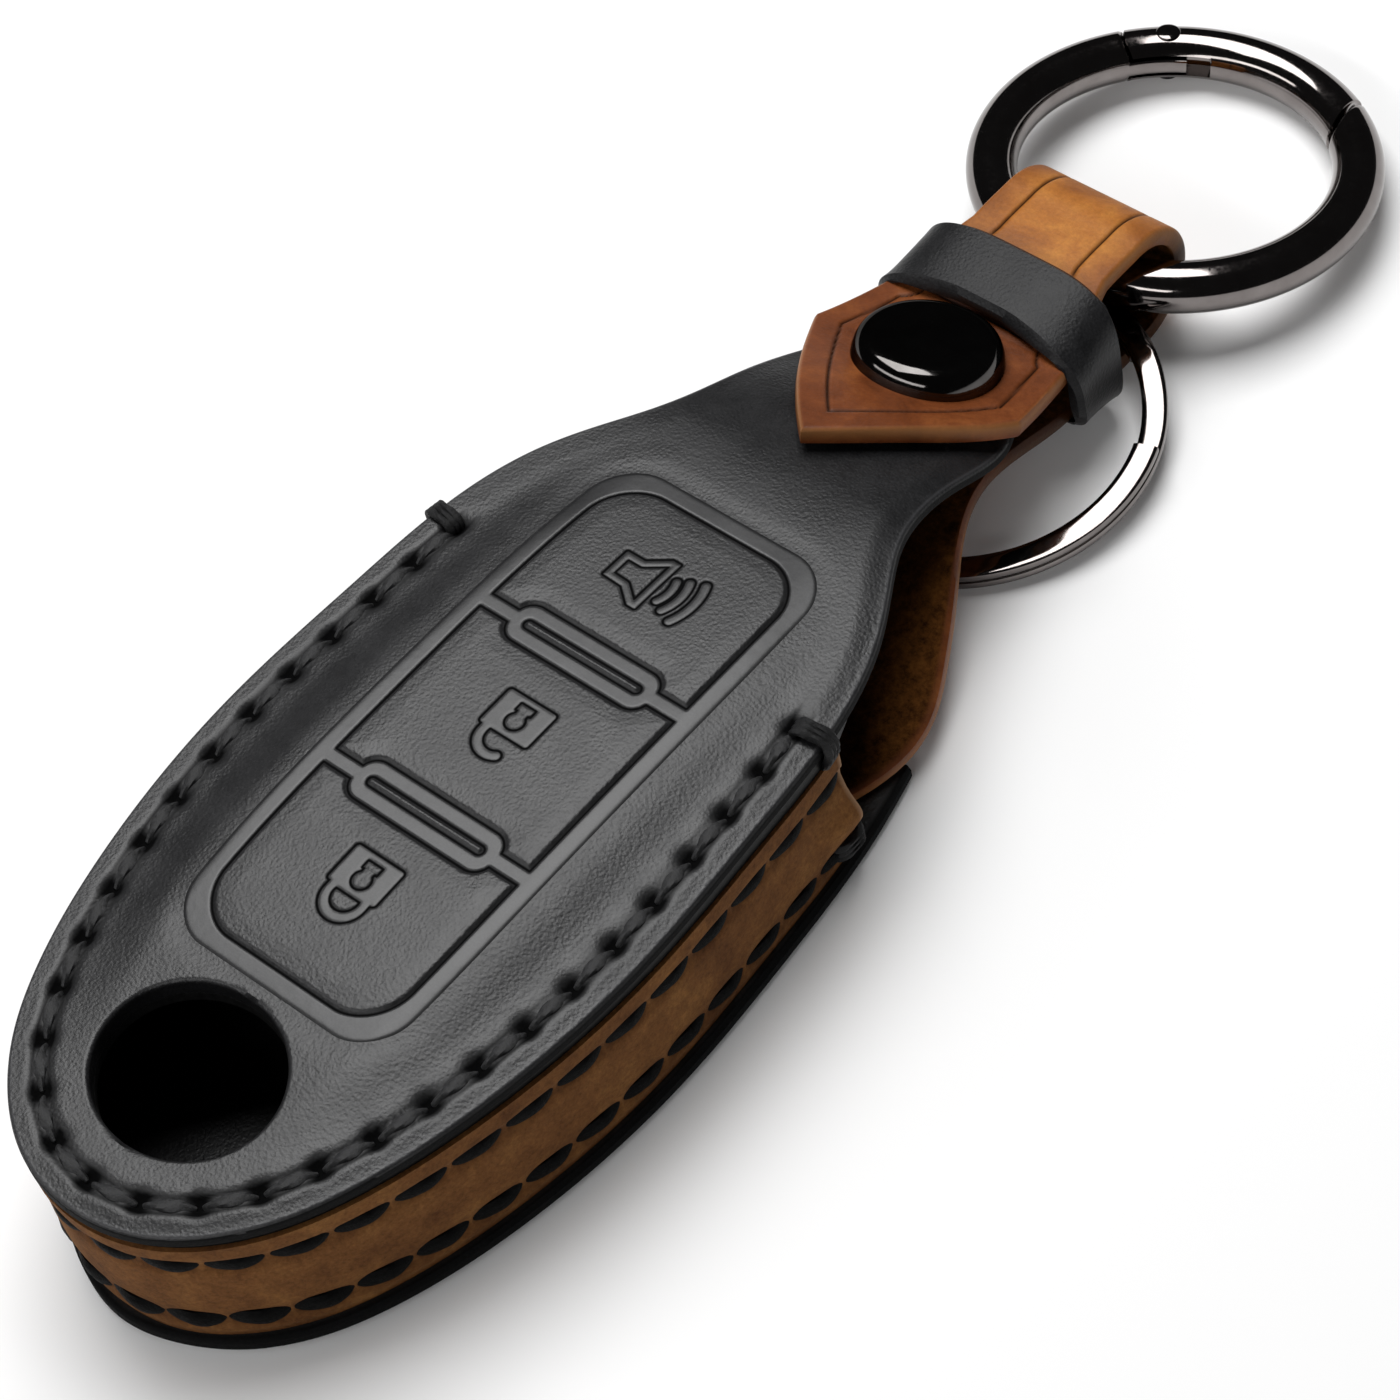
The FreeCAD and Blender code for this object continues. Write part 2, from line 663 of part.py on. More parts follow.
def build_spring_ring():
    """Round wire ring with a gate that turns inwards on a pin; local Y points away from the strap."""
    far = "Sizes.ring_radius + Sizes.wire_radius + Sizes.overrun"
    deep = "Sizes.wire_radius + Sizes.overrun"
    pin_x = "-Sizes.hinge_from_middle"
    pin_y = "sqrt(Sizes.ring_radius^2 - Sizes.hinge_from_middle^2)"
    section = primitive("Part::RegularPolygon", "wire_section", ("Sizes.ring_radius", "0", "0"),
                        Circumradius="Sizes.wire_radius")
    section.Polygon = WIRE_SIDES
    section.Placement.Rotation = Rotation(Vector(1, 0, 0), 90)
    wire = doc.addObject("Part::Revolution", "ring_wire")
    wire.Source = section
    wire.Axis = Vector(0, 0, 1)
    wire.Angle = 360
    wire.Solid = True

    def span(name, gap):
        width = f"Sizes.hinge_from_middle + Sizes.latch_from_middle + ({gap}) * Sizes.latch_gap"
        return primitive("Part::Box", name, (pin_x, "0", f"-({deep})"), Length=width, Width=far,
                         Height=f"2 * ({deep})")

    def round_tool(name, radius, height):
        return primitive("Part::Cylinder", name, (pin_x, pin_y, f"-({height}) / 2"), Radius=radius, Height=height)

    tall = f"2 * ({deep})"
    knuckle = "Sizes.knuckle_radius"
    clear = "Sizes.knuckle_radius + Sizes.knuckle_clearance"
    arc = boolean("Part::Common", "gate_arc", wire, span("gate_span", -GAP_SIDE_SHARE))
    end = boolean("Part::Common", "gate_knuckle", wire, round_tool("knuckle_round", knuckle, tall))
    gate = boolean("Part::Fuse", "gate_whole", arc, end)
    slot_height = "Sizes.tongue_thickness + 2 * Sizes.tongue_clearance"
    gate = boolean("Part::Cut", "gate_slotted", gate, round_tool("gate_slot", clear, slot_height))
    hole = round_tool("gate_pin_hole", "Sizes.pin_radius + Sizes.pin_clearance", tall)
    gate = boolean("Part::Cut", "ring_gate", gate, hole)

    body = boolean("Part::Cut", "ring_open", wire, span("open_span", GAP_SIDE_SHARE))
    body = boolean("Part::Cut", "ring_hollowed", body, round_tool("knuckle_hollow", clear, tall))
    reach = "2 * Sizes.knuckle_radius + Sizes.wire_radius"
    plate = primitive("Part::Box", "tongue_plate", (f"{pin_x} - ({reach})", "0", "-Sizes.tongue_thickness / 2"),
                      Length=reach, Width=far, Height="Sizes.tongue_thickness")
    neck = boolean("Part::Common", "tongue_neck", wire, plate)
    eye = round_tool("tongue_eye", "Sizes.tongue_radius", "Sizes.tongue_thickness")
    body = boolean("Part::Fuse", "ring_with_neck", body, neck)
    body = boolean("Part::Fuse", "ring_with_eye", body, eye)
    body = boolean("Part::Cut", "ring_body", body, round_tool("tongue_hole", "Sizes.pin_radius", tall))

    pin = boolean("Part::Common", "gate_pin", wire, round_tool("pin_round", "Sizes.pin_radius", tall))
    radius, low = size("ring_radius"), size("wire_radius")
    tilt = math.asin((size("bar_height") - low) / (2 * radius))
    along = size("bar_from_nose") + radius * math.cos(tilt)
    centre = Vector(size("ring_side_shift"), along, (size("bar_height") + low) / 2)
    place = Placement(centre, Rotation(Vector(1, 0, 0), -math.degrees(tilt)))
    for piece in (body, gate, pin):
        piece.Label = piece.Name
        piece.Placement = place.multiply(piece.Placement)
        SUBPARTS.append(piece)
    doc.recompute()


def build_split_ring():
    """Flat wire wound twice, with a short ramp between the coils and both ends stepped beside it."""
    outer, width = size("split_outer_radius"), size("split_width")
    height, pitch = size("coil_height"), size("coil_height") + size("coil_gap")
    jog, end = size("split_jog_degrees"), size("split_end_degrees")
    axis = Vector(0, 0, 1)
    origin = Vector(0, 0, 0)

    def section(angle, level):
        wire = Part.makePolygon([Vector(outer - width, 0, level), Vector(outer, 0, level),
                                 Vector(outer, 0, level + height), Vector(outer - width, 0, level + height),
                                 Vector(outer - width, 0, level)])
        wire.rotate(origin, axis, angle)
        return wire

    def coil(level, first, last):
        return Part.Face(section(first, level)).revolve(origin, axis, last - first)

    low, high = -(height + pitch) / 2, (pitch - height) / 2
    lower = coil(low, end, 360 - jog)
    upper = coil(high, 0, 360 - jog - end)
    ramp = [section(360 - jog + jog * share, low + pitch * smoothstep(0, 1, share)) for share in RAMP_SHARES]
    ring = lower.fuse(Part.makeLoft(ramp, True, False)).fuse(upper)
    middle = outer - width / 2
    thick = (height + pitch) / 2
    rise = size("split_bar_height") - thick
    tilt = math.asin(rise / (outer + middle))
    along = size("split_reach") - outer * math.cos(tilt)
    centre = Vector(size("split_side_shift"), along, outer * math.sin(tilt) + thick)
    turn = Rotation(Vector(1, 0, 0), math.degrees(tilt)).multiply(Rotation(axis, size("split_turn_degrees")))
    add_shape("split_ring", ring, Placement(centre, turn))


FACE = front_face()
build_front(FACE)
build_rear_and_gusset(FACE)
build_keeper(*build_strap())
build_snap()
build_spring_ring()
build_split_ring()
doc.recompute()

to_origin = Placement(Vector(0, -WIDEST_SHARE * LENGTH, 0), Rotation())
for subpart in SUBPARTS:
    subpart.Placement = to_origin.multiply(subpart.Placement)
doc.recompute()

for item in doc.Objects:
    if "Invalid" in item.State or "Error" in item.State:
        raise RuntimeError(f"{item.Name} failed: {item.State}")
for subpart in SUBPARTS:
    shape = subpart.Shape
    if shape.isNull() or not shape.isValid() or len(shape.Solids) != 1:
        raise RuntimeError(f"{subpart.Label}: valid {shape.isValid()}, solids {len(shape.Solids)}")

os.makedirs("parts", exist_ok=True)
for subpart in SUBPARTS:
    subpart.Shape.exportStep(f"parts/{subpart.Label}.step")
    print(subpart.Label, round(subpart.Shape.Volume, 2), subpart.Shape.optimalBoundingBox())
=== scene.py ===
# %% [markdown]
# # Leather key fob cover
#
# The object is a moulded leather case for a car key fob, with a strap, a snap and two rings. The CAD model gives
# its frame, its joints and its plain forms. This notebook dresses that model: each leather piece gets a surface
# worked out from a formula, with the pressed signs, seams and rounded edges that a maker would leave on it.

import math

import bmesh
import bpy
import numpy as np
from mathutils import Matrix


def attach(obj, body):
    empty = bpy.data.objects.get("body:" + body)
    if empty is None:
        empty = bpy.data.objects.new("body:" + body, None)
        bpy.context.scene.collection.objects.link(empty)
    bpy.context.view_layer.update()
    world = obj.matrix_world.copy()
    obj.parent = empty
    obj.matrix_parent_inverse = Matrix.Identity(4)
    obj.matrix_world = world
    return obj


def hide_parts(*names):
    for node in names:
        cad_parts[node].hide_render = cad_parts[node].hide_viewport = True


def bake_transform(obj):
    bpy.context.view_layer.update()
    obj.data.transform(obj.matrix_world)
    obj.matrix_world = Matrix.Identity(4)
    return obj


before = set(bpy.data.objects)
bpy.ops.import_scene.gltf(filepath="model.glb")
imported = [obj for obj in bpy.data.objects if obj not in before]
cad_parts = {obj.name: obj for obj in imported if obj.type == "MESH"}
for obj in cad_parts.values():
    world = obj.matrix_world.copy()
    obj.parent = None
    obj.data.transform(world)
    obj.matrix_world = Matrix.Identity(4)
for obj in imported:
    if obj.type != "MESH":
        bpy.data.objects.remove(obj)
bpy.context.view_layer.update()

# %% [markdown]
# ## Working frame
#
# Leather workers measure from the nose of the case, in millimetres. The scene is in metres and its origin lies under
# the widest section, so one small function carries points from the bench to the scene. Every piece is a grid of
# points: rows and columns of a surface. Where rows close up at a seam or a pole, the doubled points are welded.

# %% From a grid of points to a piece
NOSE_TO_ORIGIN = 41.99874
WELD = 0.0025


def grid_quads(rows, columns, closed_rows=False, closed_columns=False):
    """Four corners per cell of a grid whose points are numbered row by row; a closed grid wraps round."""
    r = np.arange(rows if closed_rows else rows - 1)
    c = np.arange(columns if closed_columns else columns - 1)
    r, c = np.meshgrid(r, c, indexing="ij")
    r2, c2 = (r + 1) % rows, (c + 1) % columns
    cells = np.stack([r * columns + c, r2 * columns + c, r2 * columns + c2, r * columns + c2], axis=-1)
    return cells.reshape(-1, 4)


def add_piece(name, points, quads, material, body, nodes=(), layers=None, crease=40):
    """A mesh from points in bench millimetres; seams are welded and faces turned outwards."""
    place = np.asarray(points, float).reshape(-1, 3)
    place = (place - (0, NOSE_TO_ORIGIN, 0)) / 1000
    mesh = bpy.data.meshes.new(name)
    mesh.vertices.add(len(place))
    mesh.vertices.foreach_set("co", place.ravel())
    mesh.loops.add(quads.size)
    mesh.loops.foreach_set("vertex_index", quads.ravel().astype(np.int32))
    mesh.polygons.add(len(quads))
    mesh.polygons.foreach_set("loop_start", np.arange(0, quads.size, 4, dtype=np.int32))
    mesh.update(calc_edges=True)
    for key, values in (layers or {}).items():
        layer = mesh.attributes.new(key, "FLOAT", "POINT")
        layer.data.foreach_set("value", np.asarray(values, np.float32).ravel())
    work = bmesh.new()
    work.from_mesh(mesh)
    bmesh.ops.remove_doubles(work, verts=work.verts, dist=WELD / 1000)
    bmesh.ops.dissolve_degenerate(work, edges=work.edges, dist=1e-7)
    bmesh.ops.recalc_face_normals(work, faces=work.faces)
    work.to_mesh(mesh)
    work.free()
    mesh.shade_smooth()
    mesh.set_sharp_from_angle(angle=math.radians(crease))
    mesh.materials.append(material)
    piece = bpy.data.objects.new(name, mesh)
    bpy.context.scene.collection.objects.link(piece)
    if body:
        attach(piece, body)
    if nodes:
        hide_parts(*nodes)
    print(name, len(mesh.polygons), "faces")
    return piece


# %% [markdown]
# ## Smooth lines
#
# The maker's pattern is a few points with a smooth line drawn through them. A cubic spline does the same: between two
# points it is a curve of third degree, and at every point neighbours share slope and bend.

# %% Splines through a few points
def smoothstep(low, high, at):
    """0 below low, 1 above high and a soft rise between: 3p^2 - 2p^3 of the part p between them."""
    part = np.clip((at - low) / (high - low), 0, 1)
    return part * part * (3 - 2 * part)


def bell(at, width):
    """1 at 0, fading softly on both sides: e to the power of minus the square of at over width."""
    return np.exp(-((at / width) ** 2))


def unit(vectors):
    """The same directions with length 1."""
    return vectors / np.linalg.norm(vectors, axis=-1, keepdims=True)


def spline(knots, values, at, closed=False, ends=None):
    """Cubic pieces through values at knots. The bends at the knots solve one linear system of equations."""
    knots, values, at = np.asarray(knots, float), np.asarray(values, float), np.asarray(at, float)
    n = len(knots)
    h = np.diff(knots)
    slope = np.diff(values, axis=0) / h[:, None]
    system = np.zeros((n, n))
    right = np.zeros_like(values)
    i = np.arange(1, n - 1)
    system[i, i - 1], system[i, i], system[i, i + 1] = h[:-1], 2 * (h[:-1] + h[1:]), h[1:]
    right[1:-1] = 6 * np.diff(slope, axis=0)
    system[0, 0] = system[-1, -1] = 1
    if closed:
        system[0, 0], system[0, 1], system[0, -2] = 2 * (h[-1] + h[0]), h[0], h[-1]
        right[0] = 6 * (slope[0] - slope[-1])
        system[-1, 0] = -1
    if ends is not None:
        system[0, 0], system[0, 1] = 2 * h[0], h[0]
        system[-1, -1], system[-1, -2] = 2 * h[-1], h[-1]
        right[0] = 6 * (slope[0] - ends[0])
        right[-1] = 6 * (ends[1] - slope[-1])
    bend = np.linalg.solve(system, right)
    k = np.clip(np.searchsorted(knots, at, side="right") - 1, 0, n - 2)
    a = ((knots[k + 1] - at) / h[k])[:, None]
    c = 1 - a
    cubic = (a**3 - a) * bend[k] + (c**3 - c) * bend[k + 1]
    return a * values[k] + c * values[k + 1] + cubic * h[k][:, None] ** 2 / 6


def arc_length(points):
    """Distance travelled along a line of points."""
    return np.r_[0, np.cumsum(np.linalg.norm(np.diff(points, axis=0), axis=1))]


def line_through(points, count, closed=False, ends=None):
    """Points of a spline whose knots are the straight distances along the given points."""
    points = np.asarray(points, float)
    knots = arc_length(points)
    return spline(knots, points, np.linspace(0, knots[-1], count), closed, ends)


def along_line(at, run, line):
    """Places at distances along a line; run holds the distance at each of its points."""
    return np.stack([np.interp(at, run, line[:, k]) for k in range(line.shape[1])], axis=-1)


def evenly(points, count):
    """The same line with its points at even distances."""
    run = arc_length(points)
    return along_line(np.linspace(0, run[-1], count), run, points)


# %% [markdown]
# ## Form of the front
#
# The front leather is moulded wet over a block. Its outline is a long oval that narrows to a neck, its middle line
# runs level and then bends down at the neck, and a low crown carries the buttons.

# %% Outline, middle line and crown of the front
LENGTH, HALF_WIDTH, RIM_HEIGHT, LEATHER = 108.3, 22.5, 18.6, 1.7
WIDTH_SHARES = np.array([0.244, 0.489, 0.653, 0.769, 0.916, 1.0, 0.973, 0.907, 0.809, 0.684, 0.582, 0.529, 0.507,
                         0.484, 0.413, 0.262])
LENGTH_SHARES = np.array([0.0092, 0.0416, 0.0822, 0.1293, 0.2308, 0.3878, 0.5171, 0.6417, 0.7018, 0.7479, 0.7867,
                          0.8264, 0.8726, 0.9187, 0.9584, 0.9898])
SPINE_AT = np.array([-0.03, 0.09, 0.28, 0.55, 0.70, 0.757, 0.785, 0.815, 0.840, 0.8726, 0.914, 0.9557, 1.0, 1.06])
SPINE_SHARES = np.array([0.976, 0.989, 1.0, 1.016, 1.011, 0.997, 0.978, 0.938, 0.892, 0.812, 0.688, 0.589, 0.516,
                         0.450])
CROWN_AT = np.array([-0.03, 0.06, 0.13, 0.21, 0.31, 0.48, 0.64, 0.72, 0.78, 1.06])
CROWN_SHARES = np.array([0, 0, 0.22, 0.65, 1.0, 0.97, 0.55, 0.15, 0, 0])
CROWN_RISE = 1.7

pattern = np.stack([WIDTH_SHARES * HALF_WIDTH, LENGTH_SHARES * LENGTH], axis=1)
outline = np.concatenate([[[0, 0]], pattern, [[0, LENGTH]], (pattern * (-1, 1))[::-1], [[0, 0]]])
outline = line_through(outline, 4001, closed=True)
right_side = outline[: np.argmax(outline[:, 1]) + 1]
stations = np.linspace(-3, 1.055 * LENGTH, 2400)
spine_line = spline(SPINE_AT * LENGTH, SPINE_SHARES[:, None] * RIM_HEIGHT, stations)[:, 0]
crown_line = np.maximum(spline(CROWN_AT * LENGTH, CROWN_SHARES[:, None] * CROWN_RISE, stations)[:, 0], 0)


def half_width(y):
    """Half width of the front at a distance from the nose."""
    return np.interp(y, right_side[:, 1], right_side[:, 0])


def spine(y):
    """Height of the front's middle line without its crown."""
    return np.interp(y, stations, spine_line)


def front_height(x, y):
    """Middle line plus a crown that is level to half of the width and fades out before the rim."""
    across = np.abs(x) / np.maximum(half_width(y), 3)
    return spine(y) + np.interp(y, stations, crown_line) * (1 - smoothstep(0.50, 0.84, across))


print("outline", outline.min(0).round(2), outline.max(0).round(2), "top", front_height(np.zeros(1), np.array([40.0])))

# %% [markdown]
# ## Seam line
#
# The stitch line runs a little inside the rim, from one corner of the mouth round the nose to the other. The maker
# pricks equally spaced holes along it; thirty stitches fit.

# %% Seam line and holes
SEAM_INSET, SEAM_END, STITCHES = 2.7, 65.2, 30


def moved_in(line, distance):
    """A line moved to its left by a distance: each point goes along the line's normal."""
    along = unit(np.gradient(line, axis=0))
    return line + np.stack([-along[:, 1], along[:, 0]], axis=1) * distance


def case_run(distance, end):
    """The outline moved inwards, from the left corner of the mouth round the nose to the right one."""
    moved = moved_in(outline, distance)[:-1]
    top = np.argmax(moved[:, 1])
    moved = np.roll(moved, -top, axis=0)
    return moved[moved[:, 1] < end]


seam_line = evenly(case_run(SEAM_INSET, SEAM_END), 1201)
seam_holes = seam_line[:: 1200 // STITCHES]
print("seam", round(arc_length(seam_line)[-1], 1), "mm with", len(seam_holes), "holes")


def nearest(x, y, line):
    """Shortest distance from each point to a line of short straight runs."""
    start, run = line[:-1], np.diff(line, axis=0)
    squared = np.maximum((run**2).sum(axis=1), 1e-12)
    spots = np.stack([x.ravel(), y.ravel()], axis=1)
    found = []
    for part in np.array_split(spots, max(1, len(spots) // 2500)):
        away = part[:, None] - start
        share = np.clip((away * run).sum(axis=-1) / squared, 0, 1)
        found.append(np.sqrt(((away - share[..., None] * run) ** 2).sum(axis=-1).min(axis=1)))
    return np.concatenate(found).reshape(x.shape)


def rim_distance(x, y):
    """Distance to the outline of the front."""
    return nearest(x, y, outline[::5])


# %% [markdown]
# ## Materials: helpers
#
# Every finish is built from noise in the object's own coordinates, so it stays on the piece when a joint moves it.

# %% Node helpers
def new_material(name):
    """A material with a surface shader; returns the material, its node tree and the shader."""
    material = bpy.data.materials.new(name)
    material.use_nodes = True
    tree = material.node_tree
    return material, tree, tree.nodes["Principled BSDF"]


def add_node(tree, kind, inputs=None, **settings):
    """A node with its settings and the values of its own sockets."""
    made = tree.nodes.new(kind)
    for key, value in settings.items():
        setattr(made, key, value)
    for key, value in (inputs or {}).items():
        made.inputs[key].default_value = value
    return made


def on_object(tree, texture):
    """Outputs of a texture that is laid out in the object's own coordinates."""
    place = tree.nodes.get("Texture Coordinate") or tree.nodes.new("ShaderNodeTexCoord")
    tree.links.new(place.outputs["Object"], texture.inputs["Vector"])
    return texture.outputs


def noise(tree, scale, detail, roughness, distortion=0.0):
    """Outputs of a noise; its scale counts waves in a metre."""
    values = {"Scale": scale, "Detail": detail, "Roughness": roughness, "Distortion": distortion}
    return on_object(tree, add_node(tree, "ShaderNodeTexNoise", values))


def mark(tree, name):
    """Value of a piece's own layer of that name, 0 where the piece has none."""
    return add_node(tree, "ShaderNodeAttribute", attribute_name=name).outputs["Fac"]


def colour_of(value):
    """A colour with its fourth part; a single number stands for a grey."""
    return (*np.broadcast_to(value, 3).tolist(), 1)


def ramp(tree, factor, *stops):
    """A colour ramp through stops of position and colour."""
    made = tree.nodes.new("ShaderNodeValToRGB")
    points = made.color_ramp.elements
    for k, (at, colour) in enumerate(stops):
        point = points[k] if k < 2 else points.new(at)
        point.position = at
        point.color = colour_of(colour)
    tree.links.new(factor, made.inputs["Fac"])
    return made.outputs["Color"]


def blended(tree, factor, first, second, how="MIX"):
    """Two colours mixed by a factor; either may be a socket or a constant."""
    made = add_node(tree, "ShaderNodeMix", data_type="RGBA", blend_type=how)
    for key, value in ((0, factor), (6, first), (7, second)):
        if isinstance(value, bpy.types.NodeSocket):
            tree.links.new(value, made.inputs[key])
        else:
            made.inputs[key].default_value = value if key == 0 else colour_of(value)
    return made.outputs[2]


def bumped(tree, height, strength, distance):
    """Normals of a bump; the distance, in metres, is its full height."""
    made = add_node(tree, "ShaderNodeBump", {"Strength": strength, "Distance": distance})
    tree.links.new(height, made.inputs["Height"])
    return made.outputs["Normal"]


def feed(tree, shader, **inputs):
    """Sockets of the shader, with _ for each space in their names: a socket is linked, a constant is set."""
    for key, value in inputs.items():
        socket = shader.inputs[key.replace("_", " ")]
        if isinstance(value, bpy.types.NodeSocket):
            tree.links.new(value, socket)
        else:
            socket.default_value = value


# %% [markdown]
# ## Black leather
#
# The case is drum-dyed black leather with a satin finish. Its pebbled grain is under half a millimetre across; pressed
# areas are smoother. Creases, grooves and seam dimples are painted much darker as shade, and a lighter grey along the
# front's rim and the keeper's edges is a painted highlight. The stamp's lines are finer than the mesh, so a piece
# stores its distance to them and the finish paints the line dark as shade. Handled leather, as on the keeper, is
# duller.

# %% Black leather
black_leather, tree, shader = new_material("black leather")
crease, pressed, edge, matt, stamp = (mark(tree, name) for name in ("crease", "pressed", "edge", "matt", "stamp"))
# The stamp's lines join the creases; below, both are painted dark as shade.
crease = blended(tree, ramp(tree, stamp, (0.42, 0), (0.47, 1), (0.53, 1), (0.58, 0)), crease, 0.95)
cloud, speck = noise(tree, 260, 5, 0.6), noise(tree, 5200, 3, 0.6)
pebble = add_node(tree, "ShaderNodeTexVoronoi", {"Scale": 3400, "Randomness": 1}, feature="SMOOTH_F1")
pebble = on_object(tree, pebble)
colour = ramp(tree, cloud["Fac"], (0.3, (0.009, 0.009, 0.0097)), (0.7, (0.017, 0.017, 0.018)))
colour = blended(tree, 0.8, colour, ramp(tree, speck["Fac"], (0.35, 0.55), (0.7, 1.5)), "MULTIPLY")
# Painted highlight: a lighter grey where a piece's edge layer is set, along the front's rim and the keeper's edges.
colour = blended(tree, edge, colour, (0.05, 0.05, 0.053))
# Painted shade: creases, grooves, seam dimples and stamp lines are made nearly black.
colour = blended(tree, crease, colour, (0.0018, 0.0018, 0.0019))
gloss = blended(tree, pressed, ramp(tree, cloud["Fac"], (0.25, 0.35), (0.75, 0.45)), 0.34)
gloss = blended(tree, crease, gloss, 0.85)
dull = blended(tree, matt, ramp(tree, crease, (0.1, 0.46), (0.9, 0.04)), 0.16)
grain = blended(tree, 0.5, pebble["Distance"], speck["Color"])
grain = blended(tree, pressed, grain, cloud["Color"])
feed(tree, shader, Base_Color=colour, Roughness=gloss, Specular_IOR_Level=dull,
     Normal=bumped(tree, grain, 0.36, 0.00018))
print(black_leather.name, len(tree.nodes), "nodes")

# %% [markdown]
# ## Front leather
#
# One skin: the outer face from the formula above, a rolled rim, the flesh side below it and the emblem window cut
# through. The seam pulls a shallow channel into it, with a deep dimple at every hole, and the keypad's border is
# pressed a little below the skin around it. The margin outside the seam slopes down, more on the right than on the
# left.

# %% Sheets of leather
WINDOW_AT, WINDOW_HALF = 13.9, (8.4, 7.3)
KEYPAD_AT, KEYPAD_SHIFT, KEYPAD_HALF, KEYPAD_CORNER = 50.6, 0.35, (12.35, 28.2), 4.6
BAND, BED_DEPTH, BORDER_SINK, BORDER_FADE = 1.75, 0.9, 0.16, 1.3
ROLL = 0.35


def box_shape(x, y, half_x, half_y, corner):
    """Signed distance to a rectangle with rounded corners, below 0 inside."""
    across, along = np.abs(x) - (half_x - corner), np.abs(y) - (half_y - corner)
    outside = np.hypot(np.maximum(across, 0), np.maximum(along, 0))
    return outside + np.minimum(np.maximum(across, along), 0) - corner


def keypad_draw(y):
    """Share of the keypad's width at a distance from the nose: its ends draw in a little."""
    return 1 - 0.075 * np.abs((y - KEYPAD_AT) / KEYPAD_HALF[1]) ** 4


def keypad_edge(x, y, shrink=0.0):
    """Signed distance to the keypad's rounded outline, below 0 inside."""
    return box_shape((x - KEYPAD_SHIFT) / keypad_draw(y), y - KEYPAD_AT, KEYPAD_HALF[0] - shrink,
                     KEYPAD_HALF[1] - shrink, KEYPAD_CORNER)


def sunk_border(border):
    """How far the skin sinks at a distance outside the keypad's border."""
    return BORDER_SINK * bell(np.maximum(border, 0), BORDER_FADE)


def rolled(distance, radius):
    """Drop of a rolled edge: a quarter circle over the last millimetres before the edge."""
    inside = np.clip(1 - distance / radius, 0, 1)
    return radius * (1 - np.sqrt(np.maximum(1 - inside**2, 0)))


def leather_sheet(y, inner, outer, top, under, wall, columns):
    """Closed skin between an upper and a lower face. Each row is one loop: upper face, rim, lower face, rim.

    Columns lie closer at both ends of a half row; the left half follows the heights of its own side.
    """
    s = np.linspace(0, 1, columns)
    t = s - 0.7 * np.sin(2 * np.pi * s) / (2 * np.pi)
    x = inner[:, None] + t * (outer - inner)[:, None]
    rows = np.repeat(y[:, None], columns, axis=1)
    lift = np.linspace(0, 1, wall + 2)[1:-1]
    half_x = np.concatenate([x, np.repeat(x[:, -1:], wall, axis=1), x[:, ::-1]], axis=1)
    halves = []
    for side in (1, -1):
        upper, lower = top(side * x, rows), under(side * x, rows)
        rim_z = upper[:, -1:] + (lower[:, -1:] - upper[:, -1:]) * lift
        halves.append(np.concatenate([upper, rim_z, lower[:, ::-1]], axis=1))
    loop_x = np.concatenate([half_x, -half_x[:, ::-1]], axis=1)
    loop_z = np.concatenate([halves[0], halves[1][:, ::-1]], axis=1)
    points = np.stack([loop_x, np.repeat(y[:, None], loop_x.shape[1], axis=1), loop_z], axis=-1)
    count = points.shape[1]
    quads = grid_quads(len(y), count, closed_columns=True)
    return points, quads, count


def window_half(y):
    """Half width of the emblem window at a distance from the nose: an ellipse."""
    return WINDOW_HALF[0] * np.sqrt(np.maximum(1 - ((y - WINDOW_AT) / WINDOW_HALF[1]) ** 2, 0))


def cut_window(rows, quads, count):
    """Cells across the window taken out, and its wall put in between the upper and the lower face."""
    cut = (rows[:-1] >= WINDOW_AT - WINDOW_HALF[1] - 0.001) & (rows[1:] <= WINDOW_AT + WINDOW_HALF[1] + 0.001)
    middle = count // 2 - 1
    keep = np.ones((len(rows) - 1, count), bool)
    keep[cut, count - 1] = False
    keep[cut, middle] = False
    level = np.nonzero(cut)[0] * count
    wall = [np.stack([level + a, level + b, level + count + b, level + count + a], axis=-1)
            for a, b in ((0, middle), (count - 1, middle + 1))]
    return np.concatenate([quads.reshape(len(rows) - 1, count, 4)[keep], *wall])


print("window", 2 * WINDOW_HALF[0], "by", 2 * WINDOW_HALF[1], "mm")

# %% Front leather
SEAM_TROUGH, SEAM_DIMPLE, MARGIN_FALL, MARGIN_LEAN = 0.2, 0.7, 0.32, 0.22
WINDOW_ROWS = WINDOW_AT - WINDOW_HALF[1] * np.cos(np.linspace(0, np.pi, 74))
rows = np.concatenate([
    6.6 * np.linspace(0.004, 1, 34) ** 2,
    WINDOW_ROWS[1:],
    np.linspace(21.2, 101.8, 262)[1:],
    LENGTH - 6.5 * np.linspace(1, 0.004, 34)[1:] ** 2,
])


def seam_channel(x, y, rim):
    """Channel of the seam: a soft trough along the stitch line and a dimple at each hole, gone at the mouth."""
    away = np.hypot(x[..., None] - seam_holes[:, 0], y[..., None] - seam_holes[:, 1]).min(axis=-1)
    fade = 1 - smoothstep(SEAM_END, SEAM_END + 3.0, y)
    trough = SEAM_TROUGH * np.exp(-(((rim - SEAM_INSET) / 0.9) ** 4)) * fade
    return trough, SEAM_DIMPLE * bell(away, 0.8)


